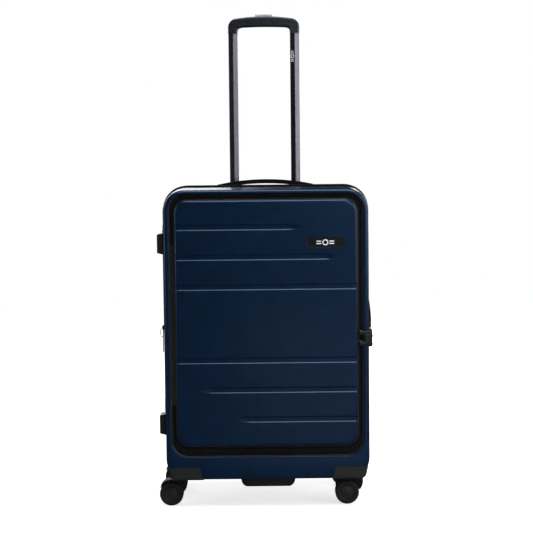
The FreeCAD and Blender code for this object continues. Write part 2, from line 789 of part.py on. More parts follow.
def make_grip():
    face = grip_face()
    body = face.extrude(V(0, GRIP_DEEP, 0))
    body.translate(V(0, -GRIP_DEEP / 2, 0))
    long_edges = edges_at(body, lambda b: b.YLength < 0.01 and b.ZMax > GRIP_LEG_Z + 1)
    body = body.makeFillet(3.5, long_edges)
    for side in (-1, 1):
        body = body.cut(tube_solid(side * TUBE_X, GRIP_LEG_Z - 1, TUBE_TOP_Z, 0.0))
        channel = box(
            side * TUBE_X - 4, side * TUBE_X + 4, TUBE_Y - 4, TUBE_Y + 4,
            TUBE_TOP_Z - 1, GRIP_CHANNEL_Z[1],
        )
        body = body.cut(channel)
    body = body.cut(box(-TUBE_X - 4, TUBE_X + 4, TUBE_Y - 4, TUBE_Y + 4, *GRIP_CHANNEL_Z))
    half_x = BUTTON[0] / 2 + GAP
    half_y = BUTTON[1] / 2 + GAP
    well = box(-half_x, half_x, TUBE_Y - half_y, TUBE_Y + half_y, 1030.0, GRIP_TOP_Z + 2)
    node("trolley_grip", body.cut(well))


def make_release():
    button = box(
        -BUTTON[0] / 2, BUTTON[0] / 2, TUBE_Y - BUTTON[1] / 2, TUBE_Y + BUTTON[1] / 2,
        BUTTON_LOW_Z, BUTTON_TOP_Z,
    )
    button = button.makeFillet(1.5, edges_at(button, lambda b: b.ZMin > BUTTON_TOP_Z - 0.1))
    node("release_button", button)
    bar = box(-TUBE_X - 2, TUBE_X + 2, TUBE_Y - 2, TUBE_Y + 2, *RELEASE_BAR_Z)
    stem = box(-3.0, 3.0, TUBE_Y - 2, TUBE_Y + 2, RELEASE_BAR_Z[1], BUTTON_LOW_Z)
    rod_z = TUBE_LOW_Z + 22.0
    rods = [
        cylinder(1.8, RELEASE_BAR_Z[0] + 1.4 - rod_z, V(s * TUBE_X, TUBE_Y, rod_z), V(0, 0, 1))
        for s in (-1, 1)
    ]
    node("release_rods", fuse([bar, stem] + rods))
    pins = [
        cylinder(PIN_R, 7.6, V(s * TUBE_X, TUBE_Y + 1.7, PIN_Z), V(0, 1, 0)) for s in (-1, 1)
    ]
    node("lock_pins", group(pins))


# ---- carry handles ------------------------------------------------------------------

def make_handle_mounts():
    mounts = []
    block = rear_block()
    for seat in handle_seats():
        plate = seat_block(seat, SEAT[0], SEAT[1], -2.0, SEAT[2]).cut(block)
        cup = seat_block(seat, SEAT_CUP[0], SEAT_CUP[1], -SEAT_CUP[2], 0.5)
        pocket = seat_block(seat, SEAT_HOLE[0] + 0.6, SEAT_HOLE[1] + 0.6, -SEAT_CUP[2] + 2, 20)
        mounts.append(fuse([plate, cup]).cut(pocket))
    node("handle_mounts", group(mounts))


def arched_handle(long, rise, thick):
    """A strap handle along X, its pads at z 0, arched up to the given rise."""
    half = long / 2
    pad = SEAT[0]
    top_pts = [V(-half, 0, 3.0), V(0, 0, rise), V(half, 0, 3.0)]
    low_pts = [V(-half + pad, 0, 0.0), V(0, 0, rise - thick), V(half - pad, 0, 0.0)]
    edges = [
        Part.Arc(*top_pts).toShape(),
        Part.makeLine(V(half, 0, 3.0), V(half, 0, 0)),
        Part.makeLine(V(half, 0, 0), V(half - pad, 0, 0)),
        Part.Arc(*reversed(low_pts)).toShape(),
        Part.makeLine(V(-half + pad, 0, 0), V(-half, 0, 0)),
        Part.makeLine(V(-half, 0, 0), V(-half, 0, 3.0)),
    ]
    strap = Part.Face(Part.Wire(edges)).extrude(V(0, HANDLE_WIDE, 0))
    strap.translate(V(0, -HANDLE_WIDE / 2, 0))
    leg_x = half - pad / 2
    legs = []
    for side in (-1, 1):
        x = side * leg_x
        legs.append(box(
            x - SEAT_HOLE[0] / 2, x + SEAT_HOLE[0] / 2,
            -SEAT_HOLE[1] / 2, SEAT_HOLE[1] / 2, -17.0, 1.0,
        ))
    return fuse([strap] + legs)


def make_handles():
    seat_top = TOP_Z - seat_inset() + SEAT[2] + 0.4
    top = arched_handle(HANDLE_LONG, TOP_HANDLE_PEAK - seat_top, TOP_HANDLE_THICK)
    top.translate(V(0, HANDLE_Y, seat_top))
    node("top_handle", top)
    seat_side = HALF_W - seat_inset() + SEAT[2] + 0.4
    side = arched_handle(SIDE_HANDLE_LONG, SIDE_HANDLE_PEAK - seat_side, SIDE_HANDLE_THICK)
    side.rotate(V(0, 0, 0), V(0, 1, 0), 90.0)
    side.translate(V(seat_side, HANDLE_Y, SIDE_HANDLE_Z))
    node("side_handle", side)


# ---- lock and zip sliders -----------------------------------------------------------

def lock_body():
    """Block on the side of the case, with a bridge that wraps round the rim to the front."""
    side = box(LOCK_INNER_X, LOCK_FACE_X, *LOCK_Y, *LOCK_Z)
    side = side.makeFillet(2.0, edges_at(side, lambda b: b.XMin > LOCK_FACE_X - 0.1))
    front = RIM_Y - LOCK_WRAP_PROUD
    wrap = box(LOCK_WRAP_X, LOCK_FACE_X, front, LOCK_Y[1] - 4.0, *LOCK_WRAP_Z)
    wrap = wrap.makeFillet(1.2, edges_at(wrap, lambda b: b.YMax < front + 0.1))
    return fuse([side, wrap]).cut(front_block())


def make_lock():
    body = lock_body()
    half_well = DIAL_R + 0.8
    for i, y in enumerate(DIAL_YS):
        body = body.cut(box(
            LOCK_INNER_X, LOCK_FACE_X + 5, y - DIAL_WIDE / 2 - GAP, y + DIAL_WIDE / 2 + GAP,
            DIAL_Z - half_well, DIAL_Z + half_well,
        ))
        dial = cylinder(DIAL_R, DIAL_WIDE, V(DIAL_X, y - DIAL_WIDE / 2, DIAL_Z), V(0, 1, 0))
        bore = cylinder(DIAL_AXLE_R + BEARING_CLEAR, 6.0, V(DIAL_X, y - 3.0, DIAL_Z), V(0, 1, 0))
        node("lock_dial_%d" % (i + 1), dial.cut(bore))
    first = DIAL_YS[0] - 3.0
    axle = cylinder(DIAL_AXLE_R, DIAL_YS[-1] + 3.0 - first, V(DIAL_X, first, DIAL_Z), V(0, 1, 0))
    body = fuse([body, axle])
    floor_x = LOCK_FACE_X - 1.8
    y0, y1 = RELEASE_Y
    z0, z1 = RELEASE_Z
    body = body.cut(box(
        floor_x, LOCK_FACE_X + 5, y0 - GAP, y1 + RELEASE_TRAVEL + GAP, z0 - GAP, z1 + GAP
    ))
    node("lock_housing", body)
    slide = box(floor_x + GAP, LOCK_FACE_X + 1.2, y0, y1, z0, z1)
    outer = edges_at(slide, lambda b: b.XMin > LOCK_FACE_X + 1.1)
    node("lock_release", slide.makeFillet(0.8, outer))


def make_pocket_sliders():
    """Slider body on the chain, with its pull laid across the rim to the lock."""
    x = LID_HALF_W + TAPE_SPLIT + GAP
    front = RIM_Y - 1.0
    wide, tall = SLIDER
    for name, z in zip(("pocket_zip_slider_upper", "pocket_zip_slider_lower"), SLIDER_ZS):
        body = box(x, x + wide, front, TAPE_Y0 - GAP, z - tall / 2, z + tall / 2)
        body = body.makeFillet(1.2, edges_at(body, lambda b: b.YMax < front + 0.1))
        pull = box(
            x + 2.0, HALF_W + 1.5, RIM_Y - 2.2, RIM_Y - 0.4, z - PULL_W / 2, z + PULL_W / 2
        )
        pull = pull.makeFillet(0.7, along(pull, V(1, 0, 0)))
        node(name, fuse([body, pull]))


def make_main_sliders():
    x = HALF_W + BAND_OUT + GAP
    thick, wide, tall = BAND_SLIDER
    for name, z in zip(("main_zip_slider_upper", "main_zip_slider_lower"), SLIDER_ZS):
        body = box(x, x + thick, -wide / 2, wide / 2, z - tall / 2, z + tall / 2)
        body = body.makeFillet(1.2, edges_at(body, lambda b: b.XMin > x + thick - 0.1))
        pull = box(x + 1.4, x + 3.2, -16.0, -3.0, z - PULL_W / 2, z + PULL_W / 2)
        node(name, fuse([body, pull]))


def make_expansion_slider():
    """Slider with two eyes, and a long pull that hangs from a pin between them."""
    x = -HALF_W - BAND_OUT - GAP
    y = EXPANSION_Y + GAP / 2
    z = EXPANSION_SLIDER_Z
    thick, wide, tall = BAND_SLIDER
    body = box(x - thick, x, y - wide / 2, y + wide / 2, z - tall / 2, z + tall / 2)
    body = body.makeFillet(1.2, edges_at(body, lambda b: b.XMax < x - thick + 0.1))
    axle = V(x - EXPANSION_AXLE[0], y, z + EXPANSION_AXLE[1])
    eyes = [
        box(axle.x - 1.8, x - 3.0, y + a, y + a + 1.4, axle.z - 2.5, axle.z + 2.5)
        for a in (-3.6, 2.2)
    ]
    hole = cylinder(0.75, 10.0, axle - V(0, 5, 0), V(0, 1, 0))
    node("expansion_zip_slider", fuse([body] + eyes).cut(hole))
    pin = cylinder(0.7, 7.0, axle - V(0, 3.5, 0), V(0, 1, 0))
    tab = box(
        axle.x - 1.0, axle.x + 1.0, y - 1.9, y + 1.9, axle.z - EXPANSION_PULL_LONG, axle.z + 1.0
    )
    node("expansion_zip_pull", fuse([pin, tab]))


# ---- casters ------------------------------------------------------------------------

def round_wheel(wheel, y, r, degrees):
    """Point beside a wheel's centre, at a radius and an angle in the wheel's plane."""
    a = math.radians(degrees)
    return V(wheel.x + r * math.cos(a), y, wheel.z + r * math.sin(a))


def fork_hood(x, wheel, y0, wide):
    """Side outline of the hood: fender over the wheels, crown, rounded back, leg to the axle."""
    tip = round_wheel(wheel, y0, WHEEL_R + 2.6, 150)
    over = round_wheel(wheel, y0, WHEEL_R + 5.0, 125)
    crown = round_wheel(wheel, y0, WHEEL_R + 6.0, 100)
    shoulder = V(x + 14, y0, BOSS_Z - 1.5)
    bulge = V(x + 14.5, y0, 45.0)
    heel = V(x + 7.5, y0, 30.0)
    hub = V(wheel.x, y0, wheel.z + 6)
    outline = [
        Part.Arc(tip, over, crown).toShape(),
        Part.makeLine(crown, shoulder),
        Part.Arc(shoulder, bulge, heel).toShape(),
        Part.makeLine(heel, hub),
        Part.makeLine(hub, tip),
    ]
    hood = Part.Face(Part.Wire(outline)).extrude(V(0, wide, 0))
    back = edges_at(hood, lambda b: b.YLength < 0.01 and b.XMax > x + 13.9 and b.ZLength > 10)
    return hood.makeFillet(3.0, back)


def caster_fork(x, y):
    """Swivel stem, disc and a hood that bulges beside and over the twin wheels."""
    wheel = V(x - TRAIL, y, WHEEL_R)
    half = WHEEL_GAP + WHEEL_THICK
    web_half = WHEEL_GAP - 0.5
    stem = cylinder(STEM_R, STEM_TALL + 1.0, V(x, y, BOSS_Z - 1.0), V(0, 0, 1))
    disc = cylinder(15.0, 4.8, V(x, y, BOSS_Z - 5.1), V(0, 0, 1))
    hood = fork_hood(x, wheel, y - half, 2 * half)
    arm = cylinder(8.0, 2 * web_half, V(wheel.x, y - web_half, wheel.z), V(0, 1, 0))
    web = box(wheel.x - 8.0, x + 6.0, y - web_half, y + web_half, wheel.z, 50.0)
    web = web.common(cylinder(WHEEL_R + 3, 20.0, V(wheel.x, y - 10, wheel.z), V(0, 1, 0)))
    body = fuse([disc, hood, arm, web])
    for side in (-1, 1):
        start = V(wheel.x, y + side * web_half, wheel.z)
        body = body.cut(cylinder(WHEEL_R + 1.2, 30.0, start, V(0, side, 0)))
    bore = cylinder(AXLE_R, 20.0, V(wheel.x, y - 10, wheel.z), V(0, 1, 0))
    return fuse([body, stem]).cut(bore)


def caster_wheel(x, y, side):
    start = V(x - TRAIL, y + side * WHEEL_GAP, WHEEL_R)
    disc = cylinder(WHEEL_R, WHEEL_THICK, start, V(0, side, 0))
    rims = edges_at(disc, lambda b: b.YLength < 0.01 and b.XLength > WHEEL_R)
    disc = disc.makeFillet(2.0, rims)
    dish = Part.makeCone(
        14.0, 17.0, 1.0, start + V(0, side * (WHEEL_THICK - 1.0), 0), V(0, side, 0)
    )
    bore = cylinder(AXLE_R + BEARING_CLEAR, WHEEL_THICK - 2.2, start, V(0, side, 0))
    return disc.cut(dish).cut(bore)


def make_casters():
    for end, y in (("front", CASTER_Y_FRONT), ("rear", CASTER_Y_REAR)):
        for hand, sx in (("left", -1), ("right", 1)):
            x = sx * CASTER_X
            tag = "%s_%s" % (end, hand)
            node("caster_fork_" + tag, caster_fork(x, y))
            reach = WHEEL_GAP + WHEEL_THICK - 2.4
            node("caster_axle_" + tag, cylinder(
                AXLE_R, 2 * reach, V(x - TRAIL, y - reach, WHEEL_R), V(0, 1, 0)
            ))
            node("wheel_%s_outer" % tag, caster_wheel(x, y, -1))
            node("wheel_%s_inner" % tag, caster_wheel(x, y, 1))


# ---- screws -------------------------------------------------------------------------

def make_screws():
    """Pan head screws that hold the caster housings and the trolley's foot from inside."""
    r, tall = SCREW_HEAD
    places = []
    for side in (-1, 1):
        for x in (CASTER_X - 18.0, CASTER_X - 44.0):
            places.append(V(side * x, CASTER_Y_REAR - 30.0, BOTTOM_Z + WALL + 1.3))
        places.append(V(side * 22.0, TUBE_Y, GUIDE_LOW_Z + 22.0))
    node("housing_screws", group([cylinder(r, tall, at, V(0, 0, 1)) for at in places]))


# ---- build --------------------------------------------------------------------------

def build():
    make_front_shell()
    make_rear_shell()
    make_bands()
    make_main_hinge()
    make_lid()
    make_pocket_tape()
    make_lid_hinge()
    make_pocket_back()
    make_rear_lining()
    make_straps()
    make_guards()
    make_feet()
    make_bottom_grip()
    make_trolley_tubes()
    make_guides()
    make_bezel()
    make_grip()
    make_release()
    make_handle_mounts()
    make_handles()
    make_lock()
    make_pocket_sliders()
    make_main_sliders()
    make_expansion_slider()
    make_casters()
    make_screws()


def write():
    os.makedirs("parts", exist_ok=True)
    for name, shape in NODES.items():
        if not shape.isValid():
            print("not valid:", name)
        shape.exportStep("parts/%s.step" % name)
    print("%d nodes" % len(NODES))


build()
write()
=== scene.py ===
"""Hard shell suitcase: the looks of every piece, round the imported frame. Metres, +Z up, -Y to the front."""
import math
from collections import namedtuple

import bmesh
import bpy
from mathutils import Matrix, Quaternion, Vector


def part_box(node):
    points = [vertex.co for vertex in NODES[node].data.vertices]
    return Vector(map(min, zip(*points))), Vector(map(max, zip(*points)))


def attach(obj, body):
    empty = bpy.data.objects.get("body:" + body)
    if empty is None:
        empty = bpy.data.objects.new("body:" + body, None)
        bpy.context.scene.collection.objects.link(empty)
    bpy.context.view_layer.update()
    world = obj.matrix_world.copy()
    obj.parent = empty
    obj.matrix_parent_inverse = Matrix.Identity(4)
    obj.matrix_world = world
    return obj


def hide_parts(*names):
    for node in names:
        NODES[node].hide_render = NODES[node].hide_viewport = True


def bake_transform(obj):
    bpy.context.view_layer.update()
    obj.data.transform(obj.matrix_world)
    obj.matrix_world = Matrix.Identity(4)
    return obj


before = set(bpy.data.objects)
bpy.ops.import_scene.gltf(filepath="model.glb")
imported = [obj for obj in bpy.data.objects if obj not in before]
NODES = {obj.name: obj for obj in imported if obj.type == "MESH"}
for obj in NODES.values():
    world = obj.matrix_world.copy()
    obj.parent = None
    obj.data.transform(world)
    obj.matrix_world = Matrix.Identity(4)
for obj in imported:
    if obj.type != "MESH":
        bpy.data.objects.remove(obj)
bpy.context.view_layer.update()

# ---- sizes the frame does not state ----

Form = namedtuple("Form", "half_w z0 z1 r")     # an upright rounded rectangle about the Z axis

SHELL = Form(0.2155, 0.0595, 0.670, 0.047)
DRAFT = 0.004           # the shells draw in this much from their open edge to the face
WALL = 0.003
RIM_ROUND = 0.0075
BACK_ROUND = 0.013
MOUTH = Form(0.2005, 0.112, 0.661, 0.036)
MOUTH_EDGE = 0.0016
FLANGE_Y = -0.118
LID_R = 0.026
LID_ROUND = 0.005
LID_CROWN = 0.0009
GROOVE_NEAR = 0.076     # first groove above or below the lid's middle
GROOVE_PITCH = 0.0616
GROOVE_DEEP = 0.0018
GROOVE_HALF = 0.0066
GROOVE_FADE = 0.026
PAST = 0.25             # a groove that runs over the edge ends out here
GUARD_TOP_Z = 0.0895
GUARD_INNER_X = 0.141
GUARD_FOOT_X = 0.134
BAND_OUT = 0.004        # how far the zip bands stand out of the shells
BAND_IN = 0.0005
TOOTH_PITCH = 0.0021
TOOTH_WIDE = 0.0010
TOOTH_LOCK = 0.0010     # how far the main zip's teeth reach in between each other
STITCH_PITCH = 0.0042
HINGE_Z = (0.150, 0.590)
HANDLE_Y = 0.058
SEAT_SPREAD = 0.087     # the top handle's seats from its middle
SIDE_SPREAD = 0.058
SEAT_CUP = (0.0222, 0.0202)
SEAT_PROUD = 0.0022     # how far the seats stand out of the shell
POST_X = 0.1855         # the casters' posts from the case's middle
CONE_ROOM = (0.0225, 0.0716)    # radius and top of the room for a caster housing
TUBE_W = 0.0203
TUBE_MARK_Z = 0.9555
PLATE_CLEAR = 0.0009    # gap round the name plate
CLOTH_POINTS = 168      # points in each ring of a cloth wall


# ---- small mesh tools ----

def mesh_of(name, body):
    """Mesh data whose normals point outwards."""
    mesh = bpy.data.meshes.new(name)
    mesh.from_pydata(body[0], [], body[1])
    mesh.validate()
    bm = bmesh.new()
    bm.from_mesh(mesh)
    bmesh.ops.recalc_face_normals(bm, faces=bm.faces)
    bm.to_mesh(mesh)
    bm.free()
    return mesh


class Shape:
    """Vertices and faces gathered from several bodies into one mesh piece."""

    def __init__(self, *bodies):
        self.verts = []
        self.faces = []
        for body in bodies:
            self.add(body)

    def add(self, body, place=None):
        verts, faces = body
        base = len(self.verts)
        self.verts += [Vector(v) if place is None else place @ Vector(v) for v in verts]
        self.faces += [[base + i for i in f] for f in faces]
        return self

    def piece(self, name, body, finish, slot=None, angle=40.0, replaces=()):
        """Makes the object. Bends sharper than the angle, in degrees, are shaded as edges."""
        mesh = mesh_of(name, (self.verts, self.faces))
        mesh.materials.append(MATS[finish])
        mesh.shade_smooth()
        mesh.set_sharp_from_angle(angle=math.radians(angle))
        obj = bpy.data.objects.new(name, mesh)
        bpy.context.scene.collection.objects.link(obj)
        if body is not None:
            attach(obj, body)
        if replaces:
            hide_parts(*replaces)
        return obj


def skin(rings, closed=False, cap_start=False, cap_end=False):
    """Quads between rings of equal length; closed joins the last ring to the first."""
    n = len(rings[0])
    verts = [p for ring in rings for p in ring]
    faces = []
    last = len(rings) if closed else len(rings) - 1
    for i in range(last):
        a = i * n
        b = ((i + 1) % len(rings)) * n
        for j in range(n):
            k = (j + 1) % n
            faces.append([a + j, a + k, b + k, b + j])
    if cap_start:
        faces.append(list(range(n)))
    if cap_end:
        faces.append(list(range(len(verts) - n, len(verts))))
    return verts, faces


def loop(form, inset=0.0, steps=10, least_r=0.001):
    """(x, z) points of a form drawn in by inset, anticlockwise from the front, from the lower left."""
    half_w = form.half_w - inset
    z0 = form.z0 + inset
    z1 = form.z1 - inset
    r = max(form.r - inset, least_r)
    points = []
    for cx, cz, start in (
        (r - half_w, z0 + r, 180), (half_w - r, z0 + r, 270),
        (half_w - r, z1 - r, 0), (r - half_w, z1 - r, 90),
    ):
        for i in range(steps + 1):
            a = math.radians(start + 90 * i / steps)
            points.append((cx + r * math.cos(a), cz + r * math.sin(a)))
    return points


def ring(form, y, inset=0.0, steps=10):
    """A form, drawn in by inset, as points at depth y."""
    return [Vector((x, y, z)) for x, z in loop(form, inset, steps)]


def spread(points, spacing=None, count=None, phase=0.0):
    """Evenly spaced places on a closed loop, each with the loop's direction; phase is in spacings."""
    points = [Vector(p) for p in points]
    ends = points[1:] + points[:1]
    lengths = [(b - a).length for a, b in zip(points, ends)]
    count = count or int(sum(lengths) / spacing)
    step = sum(lengths) / count
    out = []
    i = 0
    done = 0.0
    for k in range(count):
        at = (k + phase) * step
        while i < len(lengths) - 1 and done + lengths[i] < at:
            done += lengths[i]
            i += 1
        run = (ends[i] - points[i]).normalized()
        out.append((points[i] + run * (at - done), run))
    return out


def block(centre, size, bevel=0.0, segments=2):
    """Box with its middle at a place and rounded edges."""
    bm = bmesh.new()
    bmesh.ops.create_cube(bm, size=1.0)
    for v in bm.verts:
        v.co = Vector([a * b for a, b in zip(v.co, size)])
    if bevel > 0:
        bmesh.ops.bevel(bm, geom=bm.edges[:], offset=bevel, segments=segments, profile=0.5, affect="EDGES")
    bm.verts.index_update()
    verts = [v.co + Vector(centre) for v in bm.verts]
    faces = [[v.index for v in f.verts] for f in bm.faces]
    bm.free()
    return verts, faces


def span(lo, hi, bevel=0.0):
    """Box between two corners."""
    lo, hi = Vector(lo), Vector(hi)
    return block((lo + hi) / 2, hi - lo, bevel)


def circle(r, steps=10):
    return [(r * math.cos(2 * math.pi * i / steps), r * math.sin(2 * math.pi * i / steps)) for i in range(steps)]


def lathe(profile, steps=48):
    """(radius, height) points turned about Z; a radius of 0 at either end closes it."""
    rings = [[Vector((x, y, h)) for x, y in circle(r, steps)] for r, h in profile]
    return skin(rings, cap_start=True, cap_end=True)


def sweep(path, section, closed=False, across=Vector((0, 1, 0))):
    """A closed section of (side, out) points carried along a path; side runs along the across direction."""
    rings = []
    n = len(path)
    for i, p in enumerate(path):
        if closed:
            run = path[(i + 1) % n] - path[i - 1]
        else:
            run = path[min(i + 1, n - 1)] - path[max(i - 1, 0)]
        run.normalize()
        side = (across - run * across.dot(run)).normalized()
        out = run.cross(side)
        rings.append([p + side * a + out * b for a, b in section])
    return skin(rings, closed=closed, cap_start=not closed, cap_end=not closed)


def thin_grid(columns, rows, point):
    """Closed thin solid between two grids: point(layer, row, column) is a vertex, with layer 0 or 1."""
    n = columns + 1
    m = n * (rows + 1)
    verts = [point(layer, i, j) for layer in (0, 1) for i in range(rows + 1) for j in range(n)]
    faces = []
    for i in range(rows):
        for a in range(i * n, i * n + columns):
            faces.append([a, a + 1, a + n + 1, a + n])
            faces.append([a + m, a + m + n, a + m + n + 1, a + m + 1])
        for a in (i * n, i * n + columns):
            faces.append([a, a + n, a + n + m, a + m])
    for j in range(columns):
        for a in (j, rows * n + j):
            faces.append([a, a + 1, a + 1 + m, a + m])
    return verts, faces


def cut(obj, cutter):
    """Takes the cutter's volume out of a piece."""
    tool = bpy.data.objects.new("cutter", mesh_of("cutter", cutter))
    bpy.context.scene.collection.objects.link(tool)
    mod = obj.modifiers.new("cut", "BOOLEAN")
    mod.operation = "DIFFERENCE"
    mod.solver = "EXACT"
    mod.object = tool
    bpy.context.view_layer.update()
    evaluated = obj.evaluated_get(bpy.context.evaluated_depsgraph_get())
    result = bpy.data.meshes.new_from_object(evaluated)
    obj.modifiers.clear()
    obj.data = result
    bpy.data.objects.remove(tool)


def prism(points, y0, y1):
    """Polygon of (x, z) points carried from depth y0 to y1."""
    rings = [[Vector((x, y, z)) for x, z in points] for y in (y0, y1)]
    return skin(rings, cap_start=True, cap_end=True)


def frame_of(at, x_way, y_way):
    """Placing matrix with its origin and its X and Y directions."""
    x = Vector(x_way).normalized()
    y = Vector(y_way).normalized()
    z = x.cross(y)
    m = Matrix((x, y, z)).transposed().to_4x4()
    m.translation = at
    return m


# ---- materials ----

class Surface:
    """A node material with a Principled shader and a few ways of driving it."""

    def __init__(self, name, colour, roughness, **sockets):
        self.material = bpy.data.materials.new(name)
        self.material.use_nodes = True
        self.tree = self.material.node_tree
        self.shader = self.tree.nodes["Principled BSDF"]
        self.shader.inputs["Base Color"].default_value = (*colour, 1.0)
        self.shader.inputs["Roughness"].default_value = roughness
        for key, value in sockets.items():
            self.shader.inputs[key.replace("_", " ")].default_value = value
        self.colour = colour
        self.roughness = roughness
        self.coords = self.tree.nodes.new("ShaderNodeTexCoord").outputs["Object"]
        self.normal = None

    def node(self, kind, links=(), **values):
        n = self.tree.nodes.new(kind)
        for key, value in values.items():
            setattr(n, key, value)
        for socket, source in links:
            if isinstance(source, bpy.types.NodeSocket):
                self.tree.links.new(source, n.inputs[socket])
            else:
                n.inputs[socket].default_value = source
        return n

    def stretched(self, scale):
        return self.node("ShaderNodeMapping", [("Vector", self.coords), ("Scale", scale)]).outputs[0]

    def noise(self, scale, detail=3.0, rough=0.55, coords=None):
        links = [("Vector", coords or self.coords), ("Scale", scale), ("Detail", detail), ("Roughness", rough)]
        return self.node("ShaderNodeTexNoise", links).outputs[0]

    def cells(self, scale):
        links = [("Vector", self.coords), ("Scale", scale)]
        return self.node("ShaderNodeTexVoronoi", links, feature="F1").outputs[0]

    def bands(self, axis, scale, coords):
        links = [("Vector", coords), ("Scale", scale)]
        return self.node("ShaderNodeTexWave", links, bands_direction=axis, wave_profile="SIN").outputs[1]

    def math(self, kind, a, b):
        return self.node("ShaderNodeMath", [(0, a), (1, b)], operation=kind).outputs[0]

    def ramp(self, source, low, high, out_low=0.0, out_high=1.0):
        links = [("Value", source), (1, low), (2, high), (3, out_low), (4, out_high)]
        return self.node("ShaderNodeMapRange", links).outputs[0]

    def tint(self, source, other, low=0.35, high=0.65):
        """Blends the colour towards another where the source is high."""
        mixer = self.node("ShaderNodeMix", [(0, self.ramp(source, low, high))], data_type="RGBA")
        current = self.shader.inputs["Base Color"]
        if current.is_linked:
            self.tree.links.new(current.links[0].from_socket, mixer.inputs[6])
        else:
            mixer.inputs[6].default_value = (*self.colour, 1.0)
        mixer.inputs[7].default_value = (*other, 1.0)
        self.tree.links.new(mixer.outputs[2], current)

    def polish(self, source, spread, low=0.3, high=0.7):
        """Lets the roughness wander by the spread either way."""
        value = self.ramp(source, low, high, self.roughness - spread, self.roughness + spread)
        self.tree.links.new(value, self.shader.inputs["Roughness"])

    def bump(self, source, height):
        links = [("Height", source), ("Distance", height), ("Strength", 1.0)]
        if self.normal is not None:
            links.append(("Normal", self.normal))
        self.normal = self.node("ShaderNodeBump", links).outputs[0]
        self.tree.links.new(self.normal, self.shader.inputs["Normal"])


def moulded(name, colour, roughness, grain=900.0, height=0.00004, **sockets):
    """Moulded plastic: fine leather grain, faint scuffs, a slightly uneven polish."""
    s = Surface(name, colour, roughness, **sockets)
    s.tint(s.noise(35.0), [c * 0.75 for c in colour])
    scuffs = s.noise(60.0, 6.0, 0.7, s.stretched((9.0, 1.0, 1.0)))
    s.tint(scuffs, [c * 1.25 + 0.002 for c in colour], 0.66, 0.76)
    s.polish(s.noise(120.0, 4.0), 0.05)
    s.bump(s.cells(grain), height)
    s.bump(s.noise(grain * 2.5, 2.0), height * 0.5)
    return s.material


def woven(name, colour, roughness, threads, height, slant=False, **sockets):
    """Cloth with crossing threads along all three axes, so that it reads on a face of any direction."""
    s = Surface(name, colour, roughness, **sockets)
    coords = s.coords
    if slant:
        turn = (0.0, math.radians(45), 0.0)
        coords = s.node("ShaderNodeMapping", [("Vector", s.coords), ("Rotation", turn)]).outputs[0]
    warp = s.math("ADD", s.bands("X", threads, coords), s.bands("Z", threads, coords))
    weave = s.math("ADD", warp, s.bands("Y", threads, coords))
    s.tint(weave, [c * 1.7 + 0.004 for c in colour], 1.2, 2.6)
    s.tint(s.noise(50.0, 5.0), [c * 0.7 for c in colour], 0.5, 0.8)
    s.bump(weave, height)
    s.bump(s.noise(2600.0, 2.0), height * 0.3)
    return s.material


def metal(name, colour, roughness, grain=(1.0, 1.0, 1.0)):
    """Metal with fine drawn lines along the axis whose grain is smallest, and small dulled spots."""
    s = Surface(name, colour, roughness, Metallic=1.0)
    lines = s.noise(900.0, 3.0, 0.6, s.stretched(grain))
    s.polish(lines, 0.07)
    s.tint(s.noise(70.0, 5.0), [c * 0.82 for c in colour], 0.5, 0.75)
    s.bump(lines, 0.000012)
    return s.material


NAVY = (0.0006, 0.0070, 0.0245)
SHEEN = (0.32, 0.58, 1.0, 1.0)     # the paint's reflections lean towards blue
PAINT = {"Specular_IOR_Level": 0.5, "Specular_Tint": SHEEN, "Coat_Weight": 0.22}

